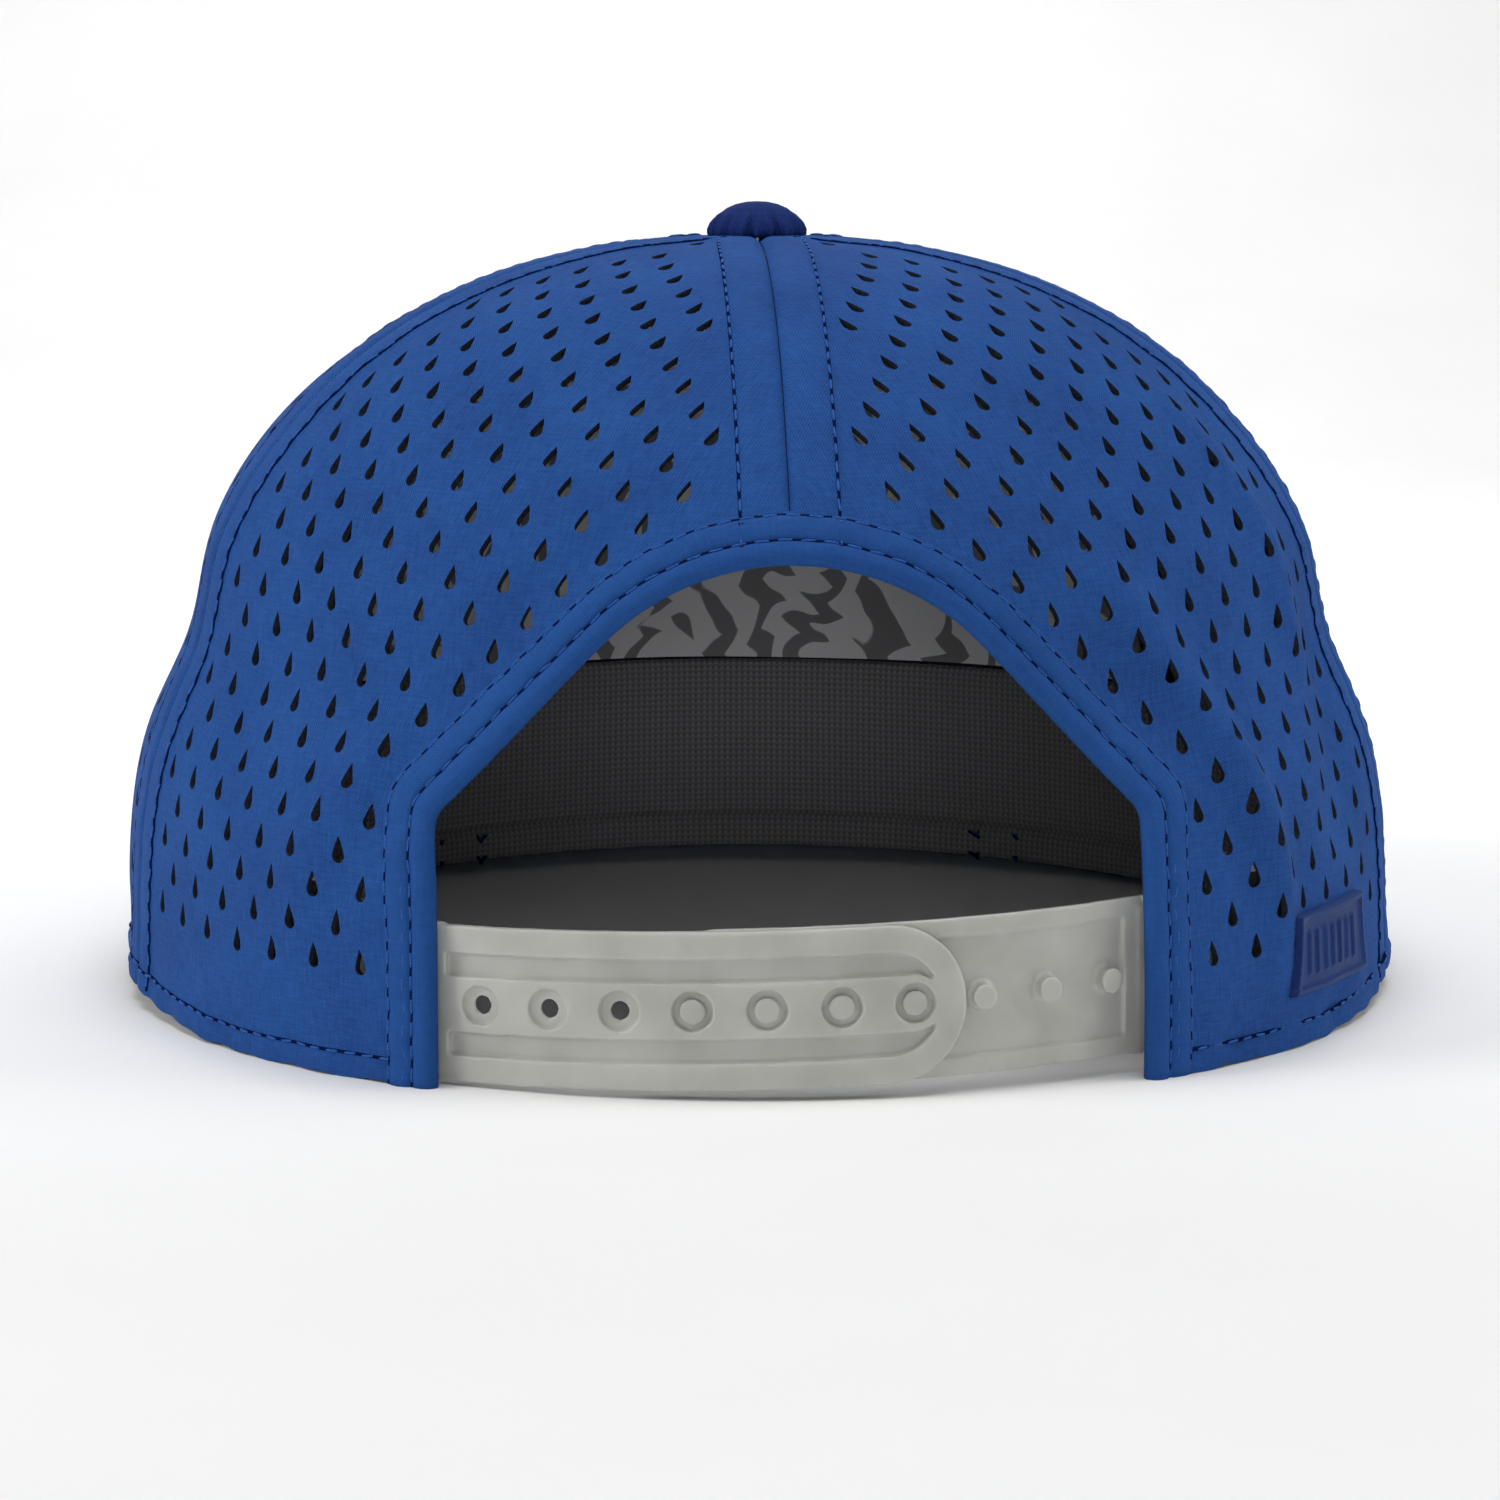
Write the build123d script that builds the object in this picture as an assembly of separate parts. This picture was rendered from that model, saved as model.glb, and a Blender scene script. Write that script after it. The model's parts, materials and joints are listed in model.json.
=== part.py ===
from build123d import *
import os
from math import acos, asin, atan2, cos, degrees, exp, radians, sin, sqrt, tan

# Five-panel snapback cap, in millimetres.
# Origin: centre of the head opening, in the plane that the rear rim rests on.
# +Z is up, the visor points to -Y, the adjuster window faces +Y, and the wearer's left is +X.
# Plan angles (phi) are counted from the front, -Y, through the wearer's left, +X.

# ---- crown shell ----
HALF_LENGTH = 96.0          # outer half length of the rim, front to back
HALF_WIDTH = 91.7           # outer half width of the rim
CROWN_HEIGHT = 107.0        # rim plane to the top of the cloth
RIM_TRIM = 0.4              # cut off flat under the rear rim
RIM_FALL = 70.0             # plan angle over which the rim comes down behind the visor
WALL = 1.2                  # panel cloth with its backing
FRONT_FULLNESS = 2.6        # superellipse exponents of the crown's profile
SIDE_FULLNESS = 2.46
BACK_FULLNESS = 2.2
WAIST = 0.035               # the soft inward sag half way up the wall
WAIST_HEIGHT = 0.467
WAIST_SPREAD = 0.112
BUTTON_HOLE_R = 3.0         # the panels stop here, under the top button
SEAM_GAP = 0.1              # clearance between neighbouring panels

# ---- seams, as plan angles ----
FRONT_SEAM = 52.0
BACK_SEAM = 105.0
CENTRE_BACK = 180.0

# ---- visor ----
VISOR_CENTRE_Z = 9.05       # highest point of the visor's upper face, above the middle of the head
VISOR_BEND_R = 1200.0       # side-to-side bend
VISOR_SLOPE = 1.3           # degrees, down towards the front
VISOR_REACH = 70.0          # from the front rim to the visor's tip
VISOR_HALF_WIDTH = 89.5
VISOR_CORNER = 65.0         # plan angle at which the visor meets the rim
COVER = 0.8                 # cloth cover
BOARD = 2.2                 # stiff board
VISOR_WIDEST_Y = 75.0       # the visor is widest this far in front of the head's centre
VISOR_TUCK = 2.0            # how far its root reaches under the crown
RIM_CLEARANCE = 0.45        # between the visor and the crown's front edge
EDGE_WIDTH = 1.6            # cloth turned round the board's edge

# ---- window at the back ----
WINDOW_HALF_WIDTH = 46.5
WINDOW_TOP = 67.3
WINDOW_ARCH_R = 34.5
WINDOW_CORNER_R = 4.0
FACING_WIDTH = 7.0

# ---- inner layers, as depth below the crown's outer face ----
TAPE_DEPTH = (1.3, 1.8)
FACING_DEPTH = (1.3, 1.9)
BUCKRAM_DEPTH = (1.3, 1.9)
LINING_DEPTH = (2.0, 2.4)
FOAM_DEPTH = (1.4, 2.35)
SWEATBAND_DEPTH = (2.45, 3.0)
TAPE_WIDTH = 12.0
TAPE_TOP_R = 15.0           # the tapes stop here, round the button
SWEATBAND_LOW = 0.8
SWEATBAND_HEIGHT = 27.3
INNER_LAYER_LOW = 28.5
FACING_LOW = 25.5           # the facing starts above the straps' tabs
LAYER_GAP = 0.1
SWEATBAND_END = 140.0       # plan angle of the sweatband's ends, short of the straps' tabs

# ---- snap closure ----
STRAP_HEIGHT = 20.4
STRAP_LIFT = 0.4            # bottom edge above the rim plane at the wearer's left
STRAP_TILT = 1.5            # degrees, up towards the wearer's right
STRAP_SET_IN = 3.2          # from the crown's outer face to the holed strap's outer face
HOLE_STRAP = 1.5            # thickness over its raised parts
HOLE_STRAP_WEB = 0.7
PEG_STRAP = 1.1
PEG_STRAP_WEB = 0.6
STRAP_GAP = 0.2             # between the two straps
SNAP_PITCH = 6.4            # degrees round the strap's circle, 9.5 mm
SNAP_COUNT = 7
FIRST_SNAP = 10.3           # outermost hole, degrees from the middle towards the wearer's right
STRAP_END = 4.6             # strap end beyond its last snap, degrees
BORDER = 3.5                # raised border of the holed strap
BAND_HEIGHT = 7.3           # raised band that the holes stand in
WELL_R = 2.6
HOLE_R = 1.2
PEG_STEM_R = 1.0
PEG_HEAD_R = 1.65
PEG_FOOT_R = 1.9
PEG_PROUD = -0.1            # peg heads stand just below the strap's face
PEG_STRAP_RIM = 2.4         # raised long edges of the pegged strap
TAB_LENGTH = 6.0            # hidden length sewn under the panel, degrees
ROOT_INSET = 1.2            # bending line, inside the window's edge
ROOT_GAP = 0.25

# ---- top button and side patch ----
BUTTON_R = 6.75
BUTTON_HEIGHT = 5.2
BUTTON_SKIRT = 1.4
BUTTON_CLOTH = 0.7
SHANK_R = 1.5
WASHER_R = 6.0
PATCH_ANGLE = 235.0
PATCH_WIDTH = 25.0
PATCH_LOW = 7.0
PATCH_HIGH = 18.0
PATCH_THICKNESS = 1.1

ACROSS = 16                 # grid of a crown surface, across and up
UP = 30
SURFACE_TOLERANCE = 0.001


def smooth(share):
    """Smooth step from 0 to 1."""
    share = min(max(share, 0.0), 1.0)
    return share * share * (3 - 2 * share)


# ---- the visor's upper face sets the height of the front rim ----
def visor_top(x, y):
    """Height of the visor's upper face, a cylinder that slopes down to the front."""
    bend = VISOR_BEND_R - sqrt(VISOR_BEND_R ** 2 - x ** 2)
    return VISOR_CENTRE_Z - bend + y * tan(radians(VISOR_SLOPE))


def rim_height(phi):
    """Height of the crown's lower edge: on the visor in front, level at the back, where it is trimmed flat."""
    turn = abs((phi + 180.0) % 360.0 - 180.0)
    x = HALF_WIDTH * sin(radians(turn))
    y = -HALF_LENGTH * cos(radians(turn))
    share = smooth((turn - VISOR_CORNER) / RIM_FALL)
    return (visor_top(x, y) + RIM_CLEARANCE) * (1 - share) - RIM_TRIM * share


# ---- the crown's analytic surface ----
def fullness(phi):
    along = -cos(radians(phi))
    end = BACK_FULLNESS if along > 0 else FRONT_FULLNESS
    return SIDE_FULLNESS + (end - SIDE_FULLNESS) * along * along


def crown_point(phi, theta, depth):
    """Point at plan angle phi and profile angle theta, a depth below the outer face."""
    power = fullness(phi)
    reach = (cos(theta) ** power + sin(theta) ** power) ** (-1 / power)
    out = reach * cos(theta)
    rise = reach * sin(theta)
    out *= 1 - WAIST * exp(-((rise - WAIST_HEIGHT) / WAIST_SPREAD) ** 2)
    rim = rim_height(phi)
    x = (HALF_WIDTH - depth) * sin(radians(phi)) * out
    y = -(HALF_LENGTH - depth) * cos(radians(phi)) * out
    return (x, y, rim + (CROWN_HEIGHT - depth - rim) * rise)


def theta_at_height(phi, above_rim):
    """Profile angle of a point that stands a given height above the rim."""
    rise = above_rim / (CROWN_HEIGHT - rim_height(phi))
    power = fullness(phi)
    return atan2(rise, (1 - rise ** power) ** (1 / power))


def theta_at_radius(radius):
    """Profile angle at which the crown's top has closed in to a radius."""
    return acos(radius / HALF_WIDTH)


def solid_between(outer, inner):
    """Closed solid between two matching grids of points."""
    outer_face = Face.make_surface_from_array_of_points(outer, tol=SURFACE_TOLERANCE, min_deg=3)
    inner_face = Face.make_surface_from_array_of_points(inner, tol=SURFACE_TOLERANCE, min_deg=3)
    sides = []
    for outer_edge, inner_edge in zip(outer_face.edges(), inner_face.edges()):
        sides.append(Face.make_surface_from_curves(outer_edge, inner_edge))
    return Solid(Shell([outer_face, inner_face, *sides]))


def layer(place, depths, across=ACROSS, up=UP):
    """Layer of the crown between two depths; place(u, v) gives phi and theta for u and v from 0 to 1."""
    grids = []
    for depth in depths:
        rows = []
        for i in range(across + 1):
            rows.append([crown_point(*place(i / across, j / up), depth) for j in range(up + 1)])
        grids.append(rows)
    return solid_between(*grids)


def span(low, high, share):
    return low + (high - low) * share


# ---- crown panels ----
def crown_panel(start, end):
    """One cloth panel, from the rim to the hole under the button."""
    gap = degrees(SEAM_GAP / 2 / HALF_WIDTH)
    top = theta_at_radius(BUTTON_HOLE_R)
    return layer(lambda u, v: (span(start + gap, end - gap, u), top * v), (0.0, WALL))


def window_prism(margin, floor):
    """Prism along Y of the window's outline, grown by a margin and cut off at a floor height."""
    half = WINDOW_HALF_WIDTH + margin
    arch = WINDOW_ARCH_R + margin
    centre = WINDOW_TOP - WINDOW_ARCH_R
    lean = arch * sin(radians(45))
    shoulder = centre + 2 * lean - half
    with BuildPart() as prism:
        with BuildSketch(Plane.XZ.offset(-HALF_LENGTH - 5)) as sketch:
            with BuildLine():
                Polyline((-lean, centre + lean), (-half, shoulder), (-half, floor), (half, floor),
                         (half, shoulder), (lean, centre + lean))
                ThreePointArc((lean, centre + lean), (0, centre + arch), (-lean, centre + lean))
            make_face()
            corners = [v for v in sketch.vertices() if abs(abs(v.X) - half) < 0.01 and v.Y > floor + 1]
            fillet(corners, WINDOW_CORNER_R)
        extrude(amount=HALF_LENGTH)
    return prism.part


def largest(shape):
    return max(shape.solids(), key=lambda solid: solid.volume)


def crown_panels():
    cut = window_prism(0, -5) + Pos(0, 0, -CROWN_HEIGHT / 2) * Box(3 * HALF_WIDTH, 3 * HALF_LENGTH, CROWN_HEIGHT)
    return {
        "front_panel": crown_panel(-FRONT_SEAM, FRONT_SEAM),
        "side_panel_left": crown_panel(FRONT_SEAM, BACK_SEAM),
        "side_panel_right": crown_panel(-BACK_SEAM, -FRONT_SEAM),
        "back_panel_left": largest(crown_panel(BACK_SEAM, CENTRE_BACK) - cut),
        "back_panel_right": largest(crown_panel(CENTRE_BACK, 360 - BACK_SEAM) - cut),
    }


# ---- layers inside the crown ----
def seam_tape(angle, low):
    """Tape of even width over the inside of one seam, from a height above the rim."""
    bottom = theta_at_height(angle, low)
    top = theta_at_radius(TAPE_TOP_R)

    def place(u, v):
        theta = span(bottom, top, v)
        x, y, _ = crown_point(angle, theta, 0.0)
        half = degrees(TAPE_WIDTH / 2 / sqrt(x * x + y * y))
        return angle + span(-half, half, u), theta

    return layer(place, TAPE_DEPTH, across=4)


def front_layer(edge_gap, top_radius, depths):
    """Layer behind the front panel that stops an even distance short of the front seams."""
    bottom = theta_at_height(0, INNER_LAYER_LOW)
    top = theta_at_radius(top_radius)

    def place(u, v):
        theta = span(bottom, top, v)
        x, y, _ = crown_point(FRONT_SEAM, theta, 0.0)
        half = FRONT_SEAM - degrees(edge_gap / sqrt(x * x + y * y))
        return span(-half, half, u), theta

    return layer(place, depths)


def rim_band(depths, low, high):
    """Band inside the rim, open at the back."""
    def place(u, v):
        phi = span(-SWEATBAND_END, SWEATBAND_END, u)
        return phi, span(theta_at_height(phi, low), theta_at_height(phi, high), v)

    return layer(place, depths, across=56, up=5)


def arch_facing():
    """Facing strip that follows the window's arch on the inside, above the straps' tabs."""
    def place(u, v):
        return span(135, 225, u), span(theta_at_height(180, 15), theta_at_height(180, 85), v)

    sheet = layer(place, FACING_DEPTH)
    return largest((sheet & window_prism(FACING_WIDTH, FACING_LOW)) - window_prism(0, -5))


def inner_layers():
    above_facing = WINDOW_TOP + FACING_WIDTH + 2
    return {
        "front_buckram": front_layer(TAPE_WIDTH / 2 + 1, 26, BUCKRAM_DEPTH),
        "front_lining": front_layer(3, TAPE_TOP_R + 1, LINING_DEPTH),
        "arch_facing": arch_facing(),
        "seam_tape_centre_back": seam_tape(CENTRE_BACK, above_facing),
        "seam_tape_back_left": seam_tape(BACK_SEAM, INNER_LAYER_LOW),
        "seam_tape_back_right": seam_tape(-BACK_SEAM, INNER_LAYER_LOW),
        "seam_tape_front_left": seam_tape(FRONT_SEAM, INNER_LAYER_LOW),
        "seam_tape_front_right": seam_tape(-FRONT_SEAM, INNER_LAYER_LOW),
        "sweatband_foam": rim_band(FOAM_DEPTH, SWEATBAND_LOW + 1, SWEATBAND_HEIGHT - 1),
        "sweatband_cover": rim_band(SWEATBAND_DEPTH, SWEATBAND_LOW, SWEATBAND_HEIGHT),
    }


# ---- visor ----
def visor_outline(margin):
    """Tall prism of the visor's plan, made smaller all round by a margin."""
    root_x = HALF_WIDTH - VISOR_TUCK + margin
    root_y = HALF_LENGTH - VISOR_TUCK + margin
    corner = VISOR_CORNER - degrees(margin / HALF_WIDTH)
    half = VISOR_HALF_WIDTH - margin
    reach = HALF_LENGTH + VISOR_REACH - VISOR_WIDEST_Y - margin
    with BuildPart() as prism:
        with BuildSketch():
            with BuildLine():
                root = EllipticalCenterArc((0, 0), root_x, root_y, -corner - 90, arc_size=2 * corner)
                front = EllipticalCenterArc((0, -VISOR_WIDEST_Y), half, reach, 180, arc_size=180)
                TangentArc(front @ 0, root @ 0, tangent=(0, 1))
                TangentArc(front @ 1, root @ 1, tangent=(0, 1))
            make_face()
        extrude(amount=2 * VISOR_CENTRE_Z, both=True)
    return prism.part


def visor_slab(top, bottom):
    """Curved, sloping slab between two depths under the visor's upper face."""
    centre = VISOR_CENTRE_Z - VISOR_BEND_R
    spread = degrees(asin(1.2 * VISOR_HALF_WIDTH / VISOR_BEND_R))

    def at(radius, angle):
        return (radius * sin(radians(angle)), centre + radius * cos(radians(angle)))

    with BuildSketch(Plane.XZ) as section:
        with BuildLine():
            upper = ThreePointArc(*[at(VISOR_BEND_R - top, a) for a in (-spread, 0, spread)])
            lower = ThreePointArc(*[at(VISOR_BEND_R - bottom, a) for a in (-spread, 0, spread)])
            Line(upper @ 0, lower @ 0)
            Line(upper @ 1, lower @ 1)
        make_face()
    length = HALF_LENGTH + VISOR_REACH + 10
    return Solid.extrude(section.sketch.face(), Vector(0, -length, -length * tan(radians(VISOR_SLOPE))))


def visor():
    board_top = COVER + LAYER_GAP
    under_top = COVER + BOARD + 2 * LAYER_GAP
    edge = visor_outline(0) - visor_outline(EDGE_WIDTH)
    board = visor_slab(board_top, board_top + BOARD) & visor_outline(EDGE_WIDTH + 2 * LAYER_GAP)
    top_cover = visor_slab(0, COVER) & visor_outline(0)
    top_cover += visor_slab(COVER, under_top - LAYER_GAP) & edge
    under_cover = visor_slab(under_top, under_top + COVER) & visor_outline(0)
    return {
        "visor_board": largest(board),
        "visor_top_cover": largest(top_cover),
        "visor_under_cover": largest(under_cover),
    }


# ---- snap closure: all of it follows a circle about an upright axis ----
def rim_circle():
    """Centre and radius of the circle through the window's two sides and the middle of the back."""
    side = HALF_LENGTH * sqrt(1 - (WINDOW_HALF_WIDTH / HALF_WIDTH) ** 2)
    sagitta = HALF_LENGTH - side
    radius = (WINDOW_HALF_WIDTH ** 2 + sagitta ** 2) / (2 * sagitta)
    return HALF_LENGTH - radius, radius


CIRCLE_Y, CIRCLE_R = rim_circle()
HOLE_OUTER = CIRCLE_R - STRAP_SET_IN
HOLE_INNER = HOLE_OUTER - HOLE_STRAP
PEG_OUTER = HOLE_INNER - STRAP_GAP
PEG_INNER = PEG_OUTER - PEG_STRAP
STRAP_MIDDLE = STRAP_LIFT + STRAP_HEIGHT / 2
HOLE_ANGLES = [FIRST_SNAP - SNAP_PITCH * i for i in range(SNAP_COUNT)]
PEG_ANGLES = [HOLE_ANGLES[3] + SNAP_PITCH * i for i in range(SNAP_COUNT)]


def plan(radius, angle):
    """Plan point at a strap angle: 0 at the middle of the back, positive towards the wearer's right."""
    return (-radius * sin(radians(angle)), CIRCLE_Y + radius * cos(radians(angle)))


def arc_bar(inner, outer, start, end, height):
    """Upright curved bar between two radii and two strap angles, at the strap's mid height."""
    angles = (start, (start + end) / 2, end)
    with BuildPart() as bar:
        with BuildSketch(Plane.XY.offset(STRAP_MIDDLE - height / 2)):
            with BuildLine():
                far = ThreePointArc(*[plan(outer, a) for a in angles])
                near = ThreePointArc(*[plan(inner, a) for a in angles])
                Line(far @ 0, near @ 0)
                Line(far @ 1, near @ 1)
            make_face()
        extrude(amount=height)
    return bar.part


def radial_disc(radius, inner, outer, angle):
    """Disc or pin that points straight out from the circle's axis."""
    x, y = plan(inner, angle)
    out = (-sin(radians(angle)), cos(radians(angle)), 0)
    place = Plane(origin=(x, y, STRAP_MIDDLE), z_dir=out)
    return place * Cylinder(radius, outer - inner, align=(Align.CENTER, Align.CENTER, Align.MIN))


def round_ended_bar(inner, outer, root, end, height):
    """Curved bar whose far end is a half circle as seen from straight behind it."""
    direction = 1 if end > root else -1
    centre = end - direction * degrees(asin(height / 2 / outer))
    bar = arc_bar(inner, outer, root, centre, height)
    cap = arc_bar(inner, outer, centre - direction * 0.05, end + direction * 3, height)
    margin = 4.0
    return bar + (cap & radial_disc(height / 2, inner - margin, outer + margin, centre))


def root_angle(radius, side):
    """Strap angle of the bending line, just inside the window's edge."""
    return side * degrees(asin((WINDOW_HALF_WIDTH - ROOT_INSET) / radius))


def root_bead(inner, outer, angle):
    """Upright rounded root that the strap bends about."""
    x, y = plan((inner + outer) / 2, angle)
    return Location((x, y, STRAP_MIDDLE)) * Cylinder((outer - inner) / 2, STRAP_HEIGHT)


def hole_strap():
    """Strap with a raised border and a raised middle band that holds the snap holes in wells."""
    root = root_angle((HOLE_INNER + HOLE_OUTER) / 2, -1)
    end = HOLE_ANGLES[0] + STRAP_END
    web = HOLE_INNER + HOLE_STRAP_WEB
    inset = degrees(BORDER / HOLE_OUTER)
    strap = round_ended_bar(HOLE_INNER, HOLE_OUTER, root, end, STRAP_HEIGHT)
    strap -= round_ended_bar(web, HOLE_OUTER + 1, root + inset / 2, end - inset, STRAP_HEIGHT - 2 * BORDER)
    band_end = HOLE_ANGLES[0] + degrees(asin(BAND_HEIGHT / 2 / HOLE_OUTER))
    strap += round_ended_bar(HOLE_INNER, HOLE_OUTER, root, band_end, BAND_HEIGHT)
    for angle in HOLE_ANGLES:
        strap -= radial_disc(WELL_R, web, HOLE_OUTER + 1, angle)
        strap -= radial_disc(HOLE_R, HOLE_INNER - 1, web + 0.5, angle)
    return strap + root_bead(HOLE_INNER, HOLE_OUTER, root)


def peg_strap():
    """Thinner strap behind it, with a raised rim on both long edges and a row of headed pegs."""
    root = root_angle((PEG_INNER + PEG_OUTER) / 2, 1)
    end = PEG_ANGLES[0] - STRAP_END
    web = PEG_INNER + PEG_STRAP_WEB
    inset = degrees(PEG_STRAP_RIM / PEG_OUTER)
    strap = round_ended_bar(PEG_INNER, PEG_OUTER, root, end, STRAP_HEIGHT)
    strap -= round_ended_bar(web, PEG_OUTER + 1, root - inset, end + inset, STRAP_HEIGHT - 2 * PEG_STRAP_RIM)
    head = HOLE_INNER + HOLE_STRAP_WEB + 0.1
    for angle in PEG_ANGLES:
        strap += radial_disc(PEG_FOOT_R, PEG_INNER + 0.1, PEG_OUTER, angle)
        strap += radial_disc(PEG_STEM_R, PEG_INNER + 0.1, head + 0.2, angle)
        strap += radial_disc(PEG_HEAD_R, head, HOLE_OUTER + PEG_PROUD, angle)
    return strap + root_bead(PEG_INNER, PEG_OUTER, root)


def strap_tab(inner, outer, sewn_to, side):
    """End of a strap that is sewn under the panel, a little way from the bending line."""
    middle = (inner + outer) / 2
    gap = degrees(((outer - inner) / 2 + ROOT_GAP) / middle)
    start = root_angle(middle, side) + side * gap
    return arc_bar(inner, sewn_to, start, start + side * TAB_LENGTH, STRAP_HEIGHT)


def snap_closure():
    tilt = Axis((WINDOW_HALF_WIDTH, 0, 0), (0, 1, 0))
    parts = {
        "hole_strap": hole_strap(),
        "hole_strap_tab": strap_tab(HOLE_INNER, HOLE_OUTER, HOLE_OUTER, -1),
        "peg_strap": peg_strap(),
        "peg_strap_tab": strap_tab(PEG_INNER, PEG_OUTER, HOLE_OUTER, 1),
    }
    return {name: largest(part.rotate(tilt, STRAP_TILT)) for name, part in parts.items()}


# ---- top button ----
def dome(radius, height, base):
    """Low round cap on a short skirt with a chamfered foot, turned about the Z axis."""
    rise = height - BUTTON_SKIRT
    ball = (radius ** 2 + rise ** 2) / (2 * rise)
    slope = asin(radius / ball) / 2
    middle = (ball * sin(slope), base + height - ball + ball * cos(slope))
    shoulder = (radius, base + BUTTON_SKIRT)
    with BuildPart() as turned:
        with BuildSketch(Plane.XZ):
            with BuildLine():
                ThreePointArc(shoulder, middle, (0, base + height))
                Polyline((0, base + height), (0, base), (radius - 0.8, base), shoulder)
            make_face()
        revolve(axis=Axis.Z)
    return turned.part


def upright(radius, low, high):
    return Location((0, 0, low)) * Cylinder(radius, high - low, align=(Align.CENTER, Align.CENTER, Align.MIN))


def top_button():
    base = CROWN_HEIGHT + 0.1
    washer_top = CROWN_HEIGHT - WALL - 0.4
    washer_low = washer_top - 1.0
    inner_r = BUTTON_R - BUTTON_CLOTH
    cover = dome(BUTTON_R, BUTTON_HEIGHT, base) - dome(inner_r, BUTTON_HEIGHT - BUTTON_CLOTH, base)
    core = dome(inner_r - LAYER_GAP, BUTTON_HEIGHT - BUTTON_CLOTH - LAYER_GAP, base)
    core += upright(SHANK_R, washer_low - 0.6, base + 1)
    core += upright(2 * SHANK_R, washer_low - 0.8, washer_low - 0.1)
    washer = upright(WASHER_R, washer_low, washer_top) - upright(SHANK_R + 0.1, washer_low - 1, washer_top + 1)
    return {"button_cover": largest(cover), "button_core": largest(core), "button_washer": largest(washer)}


# ---- moulded patch on the wearer's right ----
def side_patch():
    half = degrees(PATCH_WIDTH / 2 / (0.5 * (HALF_WIDTH + HALF_LENGTH)))

    def place(u, v):
        phi = PATCH_ANGLE + span(-half, half, u)
        return phi, span(theta_at_height(phi, PATCH_LOW), theta_at_height(phi, PATCH_HIGH), v)

    return {"side_patch": layer(place, (-LAYER_GAP - PATCH_THICKNESS, -LAYER_GAP), across=6, up=5)}


def main():
    nodes = {}
    for group in (crown_panels, inner_layers, visor, snap_closure, top_button, side_patch):
        nodes.update(group())
    os.makedirs("parts", exist_ok=True)
    for name, solid in nodes.items():
        export_step(solid, f"parts/{name}.step")
        box = solid.bounding_box()
        print(f"{name:24s} {solid.volume / 1000:8.2f} cm3  z {box.min.Z:7.2f} to {box.max.Z:7.2f}")
    for name, middle, side in (("hole_strap", (HOLE_INNER + HOLE_OUTER) / 2, -1),
                               ("peg_strap", (PEG_INNER + PEG_OUTER) / 2, 1)):
        print(name, "bends about", plan(middle, root_angle(middle, side)))
    print("rim circle", CIRCLE_Y, CIRCLE_R)


main()
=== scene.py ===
"""Five-panel perforated snapback cap, standing on its rim.

Shapes are worked out in millimetres on the crown's own surface and scaled to metres when a mesh is made.
A place on the crown is a plan angle phi, counted from the front through the wearer's left, and a profile
angle theta, from 0 at the rim to 90 degrees at the button.
"""
import json

import bpy
import numpy as np
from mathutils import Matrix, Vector, geometry


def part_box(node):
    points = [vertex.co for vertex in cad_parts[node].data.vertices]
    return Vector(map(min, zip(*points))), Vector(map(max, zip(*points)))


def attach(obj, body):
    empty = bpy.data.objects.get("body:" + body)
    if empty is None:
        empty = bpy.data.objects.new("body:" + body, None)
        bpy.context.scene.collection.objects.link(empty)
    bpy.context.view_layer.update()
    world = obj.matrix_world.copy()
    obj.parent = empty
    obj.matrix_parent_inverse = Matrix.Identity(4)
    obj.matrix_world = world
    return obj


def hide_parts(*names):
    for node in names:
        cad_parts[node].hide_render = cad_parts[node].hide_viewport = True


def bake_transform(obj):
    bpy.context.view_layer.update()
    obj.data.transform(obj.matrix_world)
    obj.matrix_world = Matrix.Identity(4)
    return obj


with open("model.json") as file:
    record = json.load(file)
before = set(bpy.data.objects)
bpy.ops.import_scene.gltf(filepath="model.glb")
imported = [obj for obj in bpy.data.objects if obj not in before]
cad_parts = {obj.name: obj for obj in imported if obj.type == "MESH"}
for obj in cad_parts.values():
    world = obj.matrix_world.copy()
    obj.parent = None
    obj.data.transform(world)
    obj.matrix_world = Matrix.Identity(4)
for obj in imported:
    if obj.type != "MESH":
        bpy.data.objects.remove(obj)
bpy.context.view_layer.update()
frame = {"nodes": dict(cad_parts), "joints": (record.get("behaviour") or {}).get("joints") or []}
MM = 0.001
rng = np.random.default_rng(7)


def frame_box(node):
    """Lowest and highest corner of a CAD node, in millimetres."""
    low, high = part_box(node)
    return np.array(low) / MM, np.array(high) / MM


# ---- the crown's surface, as the CAD model draws it ----
HALF_LENGTH = -frame_box("front_panel")[0][1]
HALF_WIDTH = frame_box("side_panel_left")[1][0]
CROWN_HEIGHT = frame_box("front_panel")[1][2]
FULLNESS_FRONT, FULLNESS_SIDE, FULLNESS_BACK = 2.6, 2.46, 2.2
WAIST, WAIST_HEIGHT, WAIST_SPREAD = 0.035, 0.467, 0.112
FRONT_SEAM, BACK_SEAM, CENTRE_BACK = 52.0, 105.0, 180.0
SEAMS = (-FRONT_SEAM, FRONT_SEAM, BACK_SEAM, CENTRE_BACK, 360 - BACK_SEAM, 360 - FRONT_SEAM)
BUTTON_HOLE_R = 3.0
VISOR_CENTRE_Z, VISOR_BEND_R, VISOR_SLOPE = 9.05, 1200.0, np.tan(np.radians(1.3))
VISOR_CORNER, RIM_FALL, RIM_CLEARANCE, RIM_TRIM = 65.0, 70.0, 0.45, 0.4
WINDOW_HALF_WIDTH, WINDOW_TOP, WINDOW_ARCH_R, WINDOW_CORNER_R = 46.5, 67.3, 34.5, 4.0


def smooth(share):
    share = np.clip(share, 0.0, 1.0)
    return share * share * (3 - 2 * share)


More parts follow.
